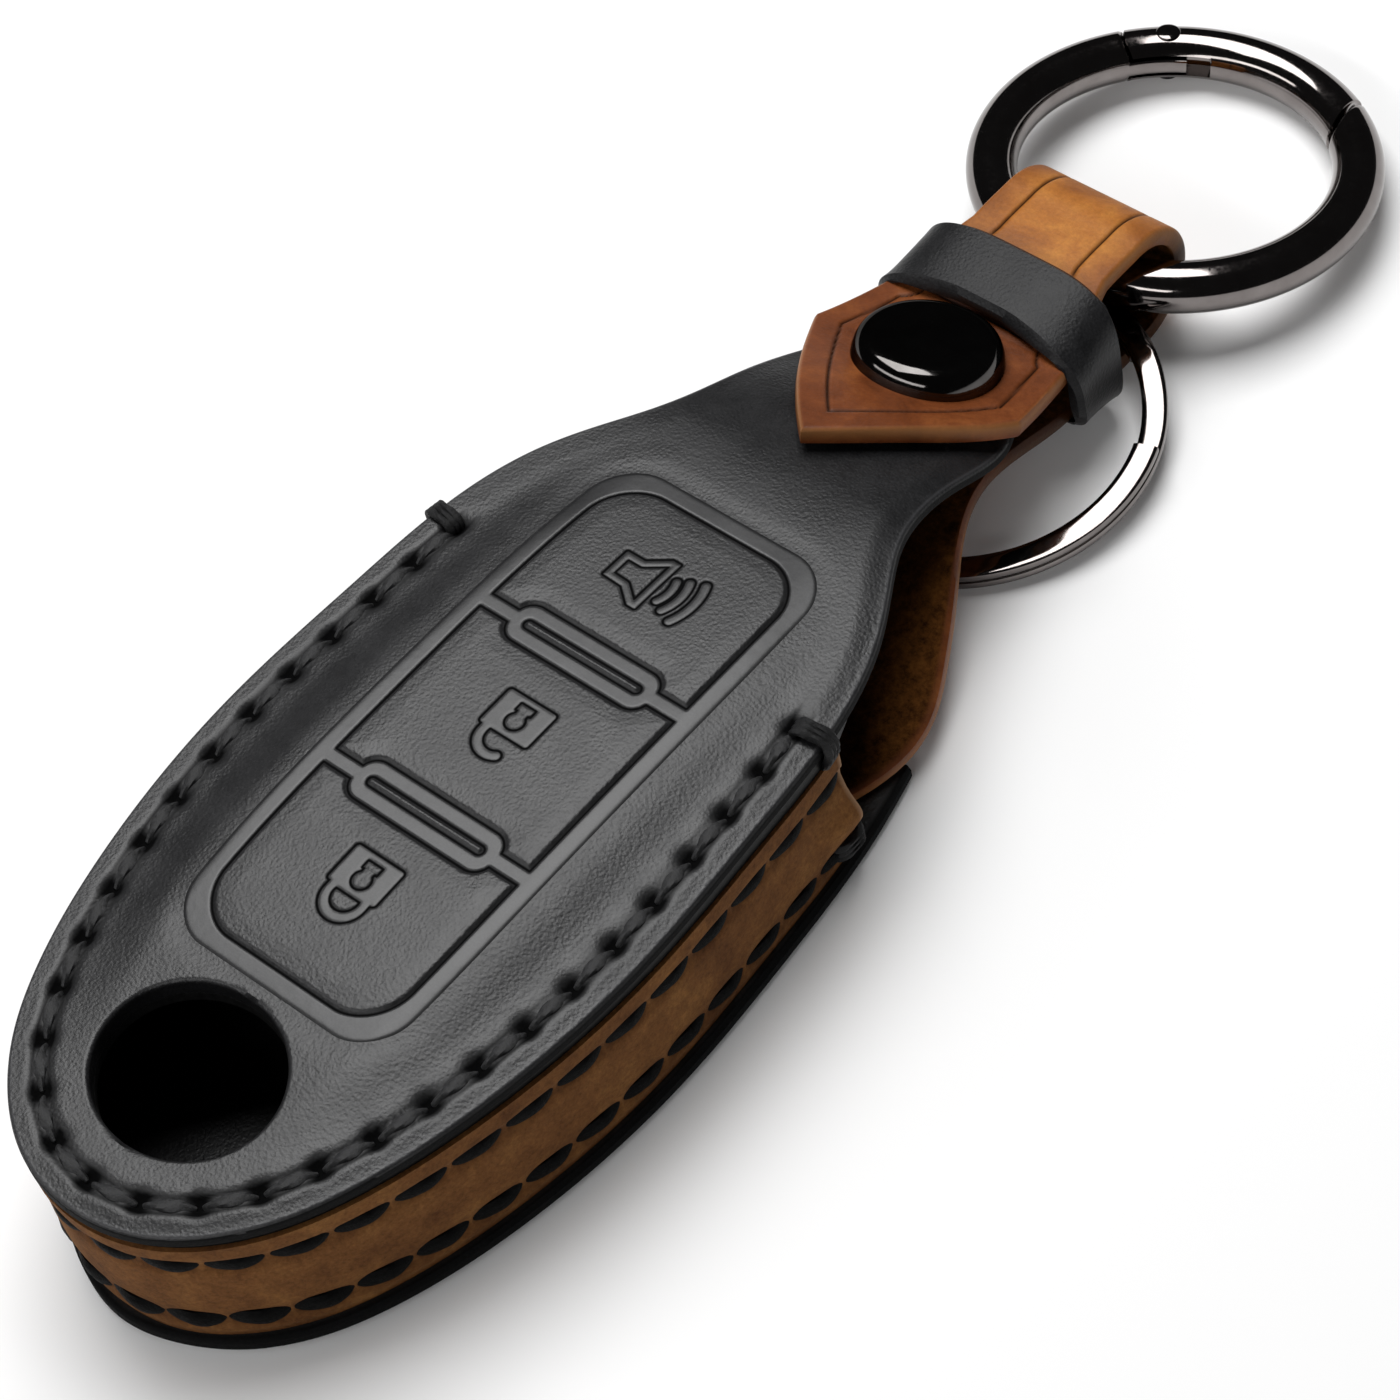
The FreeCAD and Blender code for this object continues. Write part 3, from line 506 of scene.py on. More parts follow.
def front_top(x, y):
    """Formed face less the rolled rims, the seam's channel and a bed for the pressed keypad."""
    rim = rim_distance(x, y)
    oval = np.hypot(x / WINDOW_HALF[0], (y - WINDOW_AT) / WINDOW_HALF[1])
    steep = np.hypot(x / WINDOW_HALF[0] ** 2, (y - WINDOW_AT) / WINDOW_HALF[1] ** 2) / np.maximum(oval, 0.1)
    window = np.maximum(oval - 1, 0) / np.maximum(steep, 0.02)
    trough, dimple = seam_channel(x, y, rim)
    border = keypad_edge(x, y)
    bed = BED_DEPTH * (1 - smoothstep(-BAND, -0.95, border)) + sunk_border(border)
    margin = (MARGIN_FALL + MARGIN_LEAN * np.tanh(x / 6)) * (1 - smoothstep(0, SEAM_INSET, rim))
    return front_height(x, y) - margin - rolled(rim, ROLL) - rolled(window, 0.45) - trough - dimple - bed


def front_under(x, y):
    """Flesh side, one thickness below."""
    return front_height(x, y) - LEATHER + 0.5 * rolled(rim_distance(x, y), ROLL)


points, quads, count = leather_sheet(rows, window_half(rows), half_width(rows), front_top, front_under, 3, 56)
px, py = points[..., 0], points[..., 1]
rim = rim_distance(px, py)
trough, dimple = seam_channel(px, py, rim)
# Painted shade: the crease layer darkens the seam's dimples, its trough and the strips beside the thread, and the cut
# edge. Painted highlight: the edge layer lightens a line just inside the rolled rim.
beside = bell(np.abs(rim - SEAM_INSET) - 0.72, 0.2) * trough / SEAM_TROUGH
layers = {"crease": np.clip(2.2 * dimple + 0.8 * beside + 0.4 * trough + 0.8 * (rim < 0.05), 0, 1),
          "edge": 0.6 * bell(rim - 0.3, 0.12), "matt": 0.7 * smoothstep(77, 90, py)}
add_piece("front_leather", points, cut_window(rows, quads, count), black_leather, "case",
          ["front_panel"], layers)

# %% [markdown]
# ## Pressed keypad
#
# A heated stamp presses the keypad into the damp front: a flat band round three pillow-like pads, two bars with a long
# slot, and a sign on each pad. Flat shapes are drawn as signed distances: below 0 inside a shape, above 0 outside.
# Joining shapes takes the smaller distance and cutting one from another the larger, so one height follows from them
# all. The piece laps a little over its border, so that the pressed line there lies in one fine mesh.

# %% Shapes of the stamp
def arc_shape(x, y, radius, thick, first, last):
    """Signed distance to a bent bar: a part of a ring with round ends."""
    middle_angle, reach = math.radians((first + last) / 2), math.radians((last - first) / 2)
    turn = np.arctan2(y, x) - middle_angle
    turn = np.abs((turn + np.pi) % (2 * np.pi) - np.pi)
    ring = np.abs(np.hypot(x, y) - radius)
    end = np.minimum(*[np.hypot(x - radius * math.cos(a), y - radius * math.sin(a))
                       for a in (middle_angle + reach, middle_angle - reach)])
    return np.where(turn <= reach, ring, end) - thick


def polygon_shape(x, y, corners):
    """Signed distance to a closed polygon: nearest side, and inside where a ray crosses an odd number of sides."""
    corners = np.asarray(corners, float)
    away = nearest(x, y, np.concatenate([corners, corners[:1]]))
    inside = np.zeros(x.shape, bool)
    for (x1, y1), (x2, y2) in zip(corners, np.roll(corners, -1, axis=0)):
        crosses = (y1 > y) != (y2 > y)
        inside ^= crosses & (x < (x2 - x1) * (y - y1) / np.where(y2 == y1, 1, y2 - y1) + x1)
    return np.where(inside, -away, away)


def keyhole(x, y):
    """A lock's keyhole: a short block, a narrow neck and a round end."""
    block = box_shape(x, y - 0.98, 0.9, 0.5, 0.12)
    return np.minimum(np.minimum(block, np.hypot(x, y + 0.35) - 0.98), box_shape(x, y - 0.3, 0.68, 0.6, 0.05))


def closed_lock(x, y):
    """Body and bow of a closed padlock, less its keyhole and the bow's opening."""
    bow = np.minimum(np.hypot(x, y + 0.2) - 2.12, box_shape(x, y - 0.2, 2.12, 0.5, 0.05))
    shape = np.minimum(box_shape(x, y - 2.34, 2.53, 1.86, 0.28), bow)
    opening_shape = np.maximum(np.hypot(x, y + 0.07) - 1.38, y - 0.29)
    return np.maximum(shape, -np.minimum(opening_shape, keyhole(x, y - 2.15)))


def open_lock(x, y):
    """Body of a padlock whose bow hangs on one side."""
    bow = np.minimum(arc_shape(x, y + 0.2, 1.72, 0.41, 180, 304), box_shape(x + 1.72, y - 0.1, 0.41, 0.5, 0.05))
    shape = np.minimum(box_shape(x, y - 2.2, 2.53, 1.93, 0.28), bow)
    return np.maximum(shape, -keyhole(x, y - 2.15))


def horn(x, y):
    """Outline of a horn with three sound waves."""
    bell = polygon_shape(x, y, [(-4.15, 1.4), (-2.3, 1.4), (-0.45, 2.78), (0.3, 2.78), (0.3, -2.85), (-0.45, -2.85),
                                (-2.1, -1.6), (-4.15, -1.5)]) - 0.08
    waves = [arc_shape(x + 1.4, y, r, thick, -reach, reach)
             for r, thick, reach in ((2.98, 0.35, 25), (4.08, 0.37, 26), (5.45, 0.39, 25))]
    return np.minimum(np.maximum(bell, -bell - 0.62), np.minimum.reduce(waves))


BARS_AT = (41.35, 60.25)


def frame_shape(x, y):
    """The stamp's flat frame: band, bars and slotted rings. Below 0 inside."""
    flat = -keypad_edge(x, y, BAND)
    x = x - KEYPAD_SHIFT
    for at in BARS_AT:
        bar = np.minimum(np.abs(y - at) - 0.66, box_shape(x, y - at, 7.45, 1.93, 1.5))
        flat = np.minimum(flat, np.maximum(bar, -box_shape(x, y - at, 6.35, 0.56, 0.55)))
    return flat


def sign_shape(x, y):
    """The signs on the three pads. Below 0 inside."""
    return np.minimum.reduce([sign(x - KEYPAD_SHIFT, y - at)
                              for sign, at in ((closed_lock, 32.1), (open_lock, 50.35), (horn, 69.25))])


# %% Pressed keypad
KEYPAD_LAP = 0.6


def keypad_row_half(y):
    """Half width at a distance from the nose of the keypad's rounded outline and a narrow lap round it."""
    corner, half_long = KEYPAD_CORNER + KEYPAD_LAP, KEYPAD_HALF[1] + KEYPAD_LAP
    near_end = np.clip((corner - half_long + np.abs(y - KEYPAD_AT)) / corner, 0, 1)
    return keypad_draw(y) * (KEYPAD_HALF[0] + KEYPAD_LAP - corner * (1 - np.sqrt(1 - near_end**2)))


KEYPAD_ROWS, KEYPAD_COLUMNS = 436, 200
share = np.linspace(-1, 1, KEYPAD_ROWS)
y = KEYPAD_AT + (KEYPAD_HALF[1] + KEYPAD_LAP) * (share + 0.05 * np.sin(np.pi * share))
x = KEYPAD_SHIFT + np.linspace(-1, 1, KEYPAD_COLUMNS) * keypad_row_half(y)[:, None]
y = np.repeat(y[:, None], KEYPAD_COLUMNS, axis=1)
flat_frame, flat_signs = frame_shape(x, y), sign_shape(x, y)
groove = 0.15 * bell(flat_frame - 0.12, np.where(flat_frame > 0.12, 0.18, 0.13)) + 0.12 * bell(flat_signs - 0.1, 0.13)
border = keypad_edge(x, y)
line = bell(border, 0.15)
pillow = 0.15 * smoothstep(0.1, 0.6, flat_frame) + 0.09 * smoothstep(0.2, 2.2, flat_frame)
pillow -= 0.05 * (1 - smoothstep(-0.1, 0.1, flat_signs))
lap = sunk_border(border) - 0.025 + 0.06 * smoothstep(0, KEYPAD_LAP, border)
level = np.where(border > 0, lap, 0.09 + 0.045 * bell(border, 0.25))
points = np.stack([x, y, front_height(x, y) - level + pillow - groove - 0.05 * line], axis=-1).reshape(-1, 3)
cells = np.arange(len(points)).reshape(x.shape)
rim_cells = np.concatenate([cells[0], cells[1:, -1], cells[-1, -2::-1], cells[-2:0:-1, 0]])
below = cells.size + np.arange(len(rim_cells))
skirt = np.stack([rim_cells, np.roll(rim_cells, -1), np.roll(below, -1), below], axis=-1)
points = np.concatenate([points, points[rim_cells] - (0, 0, 0.5)])
quads = np.concatenate([grid_quads(KEYPAD_ROWS, KEYPAD_COLUMNS), skirt])
flat = np.minimum(flat_frame, flat_signs)
smooth_part = (1 - smoothstep(-0.1, 0.1, flat)) * (1 - smoothstep(-0.1, 0.1, border))
# Painted shade: the crease layer darkens the grooves round the pads and signs, the border line and the skirt; through
# the stamp layer the finish paints the finer stamped lines dark.
layers = {name: np.r_[layer.ravel(), np.full(len(below), on_skirt)] for name, layer, on_skirt in (
    ("crease", np.clip(1.5 * groove + 0.9 * line, 0, 1), 1),
    ("pressed", smooth_part, 0),
    ("stamp", np.clip(0.5 + (flat - 0.1) / 2, 0, 1), 1))}
add_piece("pressed_keypad", points, quads, black_leather, "case", ["front_panel"], layers, crease=85)

# %% [markdown]
# ## Lining, rear leather and their dark finish
#
# The lining is a smooth leather glued behind the front; its edge shows as a second dark layer under the rim. The rear
# leather is the flat panel that the case lies on, with its edges sanded round.

# %% Dark lining
dark_lining, tree, shader = new_material("dark lining")
nap = noise(tree, 1500, 5, 0.7)["Fac"]
feed(tree, shader, Base_Color=ramp(tree, nap, (0.3, 0.005), (0.7, 0.014)), Specular_IOR_Level=0.15,
     Roughness=ramp(tree, nap, (0.3, 0.4), (0.7, 0.6)), Normal=bumped(tree, nap, 0.25, 0.0002))
print(dark_lining.name)

# %% Lining
LINING_INSET, LINING_THICK, LINING_END, GLUE_GAP = 0.45, 0.8, 92.0, 0.06
rows = np.concatenate([
    LINING_INSET + (6.6 - LINING_INSET) * np.linspace(0.004, 1, 30) ** 2,
    WINDOW_ROWS[1::2],
    np.linspace(21.2, 84.0, 96)[1:],
    LINING_END - 8.0 * np.linspace(1, 0.01, 24)[1:] ** 2,
])
neck_end = np.sqrt(np.clip((LINING_END - rows) / 5.0, 0, 1))
half = (0.98 * half_width(rows - LINING_INSET) - 0.4 * smoothstep(66.0, 71.0, rows)) * neck_end


def lining_thickness(y):
    """Thin in the neck; towards the mouth a welt under the rim makes it thicker."""
    return LINING_THICK + 0.95 * smoothstep(5, 60, y) * (1 - smoothstep(66, 72, y))


def lining_top(x, y):
    """Close under the flesh side of the front."""
    return front_height(x, y) - LEATHER - GLUE_GAP


def lining_under(x, y):
    """One thickness of lining below that."""
    return lining_top(x, y) - lining_thickness(y)


points, quads, count = leather_sheet(rows, window_half(rows), half, lining_top, lining_under, 2, 24)
add_piece("soft_lining", points, cut_window(rows, quads, count), dark_lining, "case", ["front_lining"])

# %% Rear leather
REAR_LENGTH, REAR_OVERHANG, MOUTH_HALF = 75.7, 0.3, 19.3
grown = pattern[LENGTH_SHARES < 0.65] * (1 + REAR_OVERHANG / HALF_WIDTH, 1)
grown = np.concatenate([grown, [[MOUTH_HALF, REAR_LENGTH]]])
rear_edge = np.concatenate([(grown * (-1, 1))[::-1], [[0, -REAR_OVERHANG]], grown])
rear_edge = line_through(rear_edge, 2001)
rear_right = rear_edge[np.argmin(rear_edge[:, 1]):]
rear_loop = np.concatenate([rear_edge, rear_edge[:1]])
low, high = rear_right[0, 1], REAR_LENGTH
rows = np.concatenate([low + 5 * np.linspace(0.004, 1, 24) ** 2, np.linspace(low + 5, high - 0.6, 70)[1:],
                       high - 0.6 * np.linspace(1, 0, 8)[1:]])
half = np.interp(rows, rear_right[:, 1], rear_right[:, 0])


def rear_top(x, y):
    """Flat inner face with a rounded rim."""
    return LEATHER - rolled(nearest(x, y, rear_loop[::4]), 0.4)


def rear_under(x, y):
    """Flat outer face on the table, with a rounded rim."""
    return rolled(nearest(x, y, rear_loop[::4]), 0.5)


points, quads, count = leather_sheet(rows, 0 * rows, half, rear_top, rear_under, 3, 20)
end = points[-1].copy()
end[:, 2] = LEATHER / 2
points = np.concatenate([points, end[None]])
quads = np.concatenate([quads, quads[-count:] + count])
rim = nearest(points[..., 0], points[..., 1], rear_loop[::4])
# Painted shade: the crease layer darkens the panel towards its rounded rim, where it meets the table.
add_piece("rear_leather", points, quads, black_leather, "case", ["rear_panel"],
          {"crease": 0.8 * (1 - smoothstep(0.3, 1.0, rim))})

# %% [markdown]
# ## Brown gusset
#
# The side is a strip of brown nubuck, sewn to the front and to the rear. The stitches lie in two furrows; above and
# below them a narrow strip stands out. At the mouth the strip's ends flare, pinched only where thread goes round them.
# Nubuck has a short nap: matt, with lighter and darker strokes. Its furrows are painted darker as shade. Its cut ends
# are paler, and its inside is lined black.

# %% Brown nubuck
brown_nubuck, tree, shader = new_material("brown nubuck")
crease, pale_edge, lined = (mark(tree, name) for name in ("crease", "pale_edge", "lined"))
stroke, nap = noise(tree, 210, 6, 0.65)["Fac"], noise(tree, 2400, 5, 0.75)["Fac"]
colour = ramp(tree, stroke, (0.3, (0.10, 0.038, 0.012)), (0.52, (0.17, 0.070, 0.021)), (0.72, (0.24, 0.108, 0.032)))
colour = blended(tree, 0.85, colour, ramp(tree, nap, (0.3, 0.6), (0.7, 1.4)), "MULTIPLY")
# The cut ends are paler; the furrows are painted dark as shade; the inside is near black.
for layer, tone in ((pale_edge, (0.36, 0.22, 0.13)), (crease, (0.03, 0.012, 0.005)), (lined, 0.005)):
    colour = blended(tree, layer, colour, tone)
feed(tree, shader, Base_Color=colour, Roughness=0.9, Specular_IOR_Level=0.12, Sheen_Weight=0.06, Sheen_Roughness=0.5,
     Sheen_Tint=(0.75, 0.5, 0.3, 1), Normal=bumped(tree, nap, 0.35, 0.0003))
print(brown_nubuck.name, len(tree.nodes), "nodes")

# %% Brown gusset
GUSSET_INSET, GUSSET_THICK, GUSSET_END = 0.4, 2.0, 67.0
UPPER_SEAM, UPPER_FALL, LOWER_SEAM, LOWER_FALL = 13.1, 0.95, 4.75, 1.05
outer_run = evenly(case_run(GUSSET_INSET, GUSSET_END), 561)
along = unit(np.gradient(outer_run, axis=0))
outward = np.stack([along[:, 1], -along[:, 0]], axis=1)
run = arc_length(outer_run)
GUSSET_LENGTH = run[-1]
gusset_top = spine(outer_run[:, 1]) - LEATHER - 0.05 - lining_thickness(outer_run[:, 1])
to_mouth = np.abs(2 * run / GUSSET_LENGTH - 1)
upper_seam, lower_seam = UPPER_SEAM - UPPER_FALL * to_mouth, LOWER_SEAM - LOWER_FALL * to_mouth


def gusset_flare(z, end):
    """How far the gusset's ends bend outwards at a distance from the end: most above the thread that holds them."""
    return 1.2 * (1 - smoothstep(0, 6.0, end)) * bell(z - 7.4, 2.2)


def gusset_swell(z, s, upper, lower):
    """How far the gusset stands out: a strip on top, a furrow at both seams, deepest under each stitch, and a swell."""
    stitch = np.abs(np.sin(np.pi * s / GUSSET_LENGTH * STITCHES)) ** 0.6
    furrow = bell(z - upper, 0.8) + bell(z - lower, 1.05)
    strips = 0.22 * smoothstep(upper + 0.75, upper + 1.1, z) - 0.3 * (1 - smoothstep(1.9, 3.0, z))
    belly = np.sin(np.pi * np.clip((z - lower) / (upper - lower), 0, 1))
    return 0.1 + strips + 0.14 * belly - (0.1 + 0.36 * stitch) * furrow, stitch * furrow


def closed_ends(points, layers):
    """End rows drawn together on their middle thickness, so that a strip's ends are shut."""
    columns = points.shape[1] // 2
    ends = []
    for k in (0, -1):
        row = points[k]
        middle_line = 0.5 * (row[:columns] + row[: columns - 1: -1])
        ends.append(np.concatenate([middle_line, middle_line[::-1]])[None])
    points = np.concatenate([ends[0], points, ends[1]])
    layers = {name: np.concatenate([value[:1], value, value[-1:]]) for name, value in layers.items()}
    return points, layers


HEIGHTS = 48
z = LEATHER + np.linspace(0, 1, HEIGHTS) * (gusset_top - LEATHER)[:, None]
end = np.minimum(run, GUSSET_LENGTH - run)[:, None]
flare = gusset_flare(z, end)
swell, furrow = gusset_swell(z, run[:, None], upper_seam[:, None], lower_seam[:, None])
out = np.concatenate([swell + flare, (flare - GUSSET_THICK)[:, ::-1]], axis=1)
points = np.concatenate([outer_run[:, None] + outward[:, None] * out[..., None],
                         np.concatenate([z, z[:, ::-1]], axis=1)[..., None]], axis=-1)
back = np.repeat(np.r_[np.zeros(HEIGHTS), np.ones(HEIGHTS)][None], len(run), axis=0)
# Painted shade: the crease layer darkens the furrows at both seams, most under each stitch.
layers = {"crease": np.concatenate([0.7 * np.clip(furrow, 0, 1), 0 * z], axis=1),
          "pale_edge": np.repeat(1 - smoothstep(0.0, 0.5, end), 2 * HEIGHTS, axis=1) * (1 - back),
          "lined": back * smoothstep(0.3, 1.0, end)}
points, layers = closed_ends(points, layers)
quads = grid_quads(len(points), 2 * HEIGHTS, closed_columns=True)
add_piece("brown_gusset", points, quads, brown_nubuck, "case", ["side_gusset"], layers)

# %% [markdown]
# ## Thread
#
# Thick waxed polyester thread, sewn by hand with two needles. On the front each stitch is a short twisted length that
# dives into its holes; on the gusset it shows as a flat dash with a straight upper edge. At the mouth the thread goes
# three times over the edge before it is tied off inside. On the gusset the thread is painted darker as shade, and at
# the mouth half as much.

# %% Black waxed thread
black_thread, tree, shader = new_material("black waxed thread")
thread_shade, fibre = mark(tree, "thread_shade"), noise(tree, 3000, 6, 0.7)["Fac"]
# Painted shade: where the thread is marked as shaded it is made nearly black and less glossy.
colour = blended(tree, thread_shade, ramp(tree, fibre, (0.35, 0.003), (0.7, (0.028, 0.028, 0.03))), 0.0022)
feed(tree, shader, Base_Color=colour, Specular_IOR_Level=ramp(tree, thread_shade, (0.0, 0.5), (1.0, 0.06)),
     Roughness=ramp(tree, fibre, (0.3, 0.5), (0.7, 0.75)), Normal=bumped(tree, fibre, 0.4, 0.0003))
print(black_thread.name)

# %% Tubes along lines
def tubes(lines, sides, size_along, facing, twist, strands, flat=1.0):
    """A tube along each line. A ring of points stands square to the line; its radius swells with the strands.

    lines is an array of lines, points and coordinates, size_along the radius at each point of a line, or of every line,
    facing the direction in which the tube is flattened, and flat its share of the radius there.
    """
    ahead = unit(np.gradient(lines, axis=1))
    side = unit(np.cross(ahead, facing))
    up = np.cross(side, ahead)
    angle = np.arange(sides) / sides * 2 * np.pi
    lay = np.linspace(0, twist * 2 * np.pi, lines.shape[1])
    ring = np.atleast_2d(size_along)[..., None] * (1 + 0.16 * np.cos(strands * angle + lay[:, None]))
    points = (lines[:, :, None] + side[:, :, None] * (ring * np.cos(angle))[..., None]
              + up[:, :, None] * (flat * ring * np.sin(angle))[..., None])
    points[:, 0] = lines[:, :1]
    points[:, -1] = lines[:, -1:]
    one = grid_quads(lines.shape[1], sides, closed_columns=True)
    step = lines.shape[1] * sides
    quads = (one[None] + np.arange(len(lines))[:, None, None] * step).reshape(-1, 4)
    return points.reshape(-1, 3), quads


# %% Stitches on the front
HOLE_DEPTH, STITCH_RISE, THREAD_AT_HOLE, THREAD_SWELL = 1.25, 0.85, 0.18, 0.38
share = np.linspace(0, 1, 17)
reach = arc_length(seam_line)
at = (np.arange(STITCHES)[:, None] + 0.04 + 0.92 * share) / STITCHES * reach[-1]
flat_line = along_line(at, reach, seam_line)
bow = np.sqrt(np.maximum(np.sin(np.pi * share), 0))
level = front_height(flat_line[..., 0], flat_line[..., 1]) - HOLE_DEPTH + STITCH_RISE * bow
lines = np.concatenate([flat_line, level[..., None]], axis=-1)
upwards = np.broadcast_to(np.array([0.0, 0, 1]), lines.shape)
points, quads = tubes(lines, 14, THREAD_AT_HOLE + THREAD_SWELL * bow, upwards, twist=1.4, strands=3)
add_piece("front_stitches", points, quads, black_thread, "case")

# %% Stitches on the gusset
made = []
from_nose = np.abs(2 * (np.arange(STITCHES)[:, None] + 0.5) / STITCHES - 1)
for seam, tall in ((upper_seam, 1.05 - 0.2 * from_nose), (lower_seam, 1.4 - 0.6 * from_nose)):
    at = (np.arange(STITCHES)[:, None] + 0.02 + 0.96 * share) / STITCHES * GUSSET_LENGTH
    spot, away = along_line(at, run, outer_run), along_line(at, run, outward)
    ends_out = gusset_flare(np.interp(at, run, seam), np.minimum(at, GUSSET_LENGTH - at))
    spot = spot + away * (ends_out - 0.38 + 0.3 * bow)[..., None]
    level = np.interp(at, run, seam) + 0.9 * tall - 0.9 * tall * bow
    lines = np.concatenate([spot, level[..., None]], axis=-1)
    facing = np.concatenate([away, np.zeros_like(level)[..., None]], axis=-1)
    made.append(tubes(lines, 12, 0.1 + 0.9 * tall * bow, facing, flat=0.42, twist=0.8, strands=2))
points = np.concatenate([p for p, q in made])
quads = np.concatenate([made[0][1], made[1][1] + len(made[0][0])])
# Painted shade: all of the gusset's thread is darkened.
add_piece("gusset_stitches", points, quads, black_thread, "case",
          layers={"thread_shade": np.ones(len(points))})

# %% Thread round the edges at the mouth
OVER_RIM = np.array([(0.0, -0.9), (0.25, 0.1), (1.0, 0.38), (1.9, 0.34), (2.65, 0.1), (3.1, -0.6), (3.2, -1.6),
                     (2.85, -2.7), (2.35, -3.7)])
ROUND_END = np.array([(-2.8, -0.5), (-2.0, 0.5), (-0.9, 0.75), (0.2, 0.6), (0.62, -0.3), (0.55, -1.6), (-0.2, -2.5),
                      (-1.4, -2.4)])
TURN_PARTS = 30
rim_lines, end_lines, rim_facing, end_facing = [], [], [], []
for side in (0, -1):
    hole, ahead, out_way = seam_holes[side], along[side], outward[side]
    inward = ahead if side == 0 else -ahead
    for strand in (-1, 0, 1):
        flat_line = hole + 0.5 * strand * ahead + OVER_RIM[:, :1] * out_way
        line = np.c_[flat_line, front_height(hole[:1], hole[1:]) + OVER_RIM[:, 1]]
        rim_lines.append(line_through(line, TURN_PARTS))
        rim_facing.append(np.broadcast_to(np.r_[ahead, 0], (TURN_PARTS, 3)))
        flat_line = outer_run[side] - ROUND_END[:, :1] * inward + ROUND_END[:, 1:] * out_way
        level = lower_seam[side] + 0.3 + 0.62 * strand
        end_lines.append(line_through(np.c_[flat_line, np.full(len(flat_line), level)], TURN_PARTS))
        end_facing.append(np.broadcast_to(np.array([0.0, 0, 1]), (TURN_PARTS, 3)))
thin_ends = 0.20 + 0.18 * np.minimum(1, 6 * np.sin(np.pi * np.linspace(0, 1, TURN_PARTS)))
lines, facing = np.stack(rim_lines + end_lines), np.stack(rim_facing + end_facing)
points, quads = tubes(lines, 12, thin_ends, facing, twist=3.0, strands=3)
# Painted shade: the thread at the mouth is darkened half as much.
add_piece("mouth_thread", points, quads, black_thread, "case",
          layers={"thread_shade": np.full(len(points), 0.5)})

# %% [markdown]
# ## Strap
#
# The strap is one strip of waxed tan leather. It starts as a broad tongue sewn inside the mouth, runs back, turns round
# the two rings in a loop and returns through the keeper to a shield-shaped tip. A creaser has drawn a line along its
# edges, and the line is painted dark as shade; a lighter line along the corners of the cut edges is a painted
# highlight, and the lower ply's edges beside the neck are painted dark as shade. Wax makes the leather dark; where the
# loop stretches it, the wax moves aside and the colour lightens.

# %% Tan strap leather
tan_leather, tree, shader = new_material("waxed tan leather")
crease, pale_edge, flesh, pulled = (mark(tree, name) for name in ("crease", "pale_edge", "flesh", "pulled"))
cloud, pore, nap = noise(tree, 170, 6, 0.62, 0.6)["Fac"], noise(tree, 2600, 4, 0.7), noise(tree, 900, 6, 0.8)
colour = ramp(tree, cloud, (0.28, (0.10, 0.025, 0.006)), (0.5, (0.17, 0.045, 0.011)), (0.72, (0.27, 0.083, 0.020)))
stretched = ramp(tree, cloud, (0.28, (0.27, 0.085, 0.015)), (0.5, (0.42, 0.150, 0.028)), (0.72, (0.56, 0.23, 0.045)))
colour = blended(tree, pulled, colour, stretched)
colour = blended(tree, 0.7, colour, ramp(tree, pore["Fac"], (0.3, 0.78), (0.7, 1.15)), "MULTIPLY")
suede = ramp(tree, nap["Fac"], (0.35, (0.030, 0.010, 0.003)), (0.68, (0.17, 0.063, 0.014)))
# Painted highlight: a lighter line on the edges' corners. Painted shade: the scored line and the lower ply's edges are
# darkened. The flesh side is suede.
for layer, tone in ((pale_edge, (0.44, 0.21, 0.075)), (crease, (0.018, 0.006, 0.002)), (flesh, suede)):
    colour = blended(tree, layer, colour, tone)
gloss = blended(tree, flesh, ramp(tree, cloud, (0.3, 0.42), (0.7, 0.55)), 0.95)
relief = blended(tree, flesh, pore["Color"], nap["Color"])
feed(tree, shader, Base_Color=colour, Roughness=gloss, Specular_IOR_Level=ramp(tree, flesh, (0.0, 0.2), (1.0, 0.05)),
     Normal=bumped(tree, relief, 0.25, 0.00025))
print(tan_leather.name, len(tree.nodes), "nodes")

# %% Path of the strap
STRAP_THICK = 1.7
LOOP_AT, LOOP_RADIUS = np.array([124.6, 6.6]), 4.75 + STRAP_THICK / 2
PLY_AT = np.array([0.685, 0.739, 0.776, 0.813, 0.850, 0.886, 0.923, 0.960, 0.997, 1.034, 1.062, 1.085, 1.102, 1.118])
PLY_SHARES = np.array([0.201, 0.230, 0.296, 0.375, 0.435, 0.460, 0.440, 0.392, 0.333, 0.280, 0.229, 0.172, 0.119,
                       0.097])
HINGE_AT, HINGE_GAP, NECK_GAP, TIP_LENGTH = 111.1, 0.3, 0.8, 22.8
floor = LEATHER + STRAP_THICK / 2
lower = np.concatenate([[[60, floor], [67, floor]],
                        np.stack([PLY_AT * LENGTH, PLY_SHARES * RIM_HEIGHT - STRAP_THICK / 2], axis=1),
                        [[LOOP_AT[0], LOOP_AT[1] - LOOP_RADIUS]]])
lower = line_through(lower, 400, ends=np.array([[1.0, 0], [1.0, 0]]))
turn = np.linspace(-np.pi / 2, np.pi / 2, 90)[1:-1]
loop = LOOP_AT + LOOP_RADIUS * np.stack([np.cos(turn), np.sin(turn)], axis=1)


def tip_level(y):
    """Middle of the tip's leather: a gap and half a thickness above the neck, square to its slope."""
    slope = (spine(y + 1.5) - spine(y - 1.5)) / 3
    return spine(y) + (NECK_GAP + STRAP_THICK / 2) * np.hypot(1, slope)


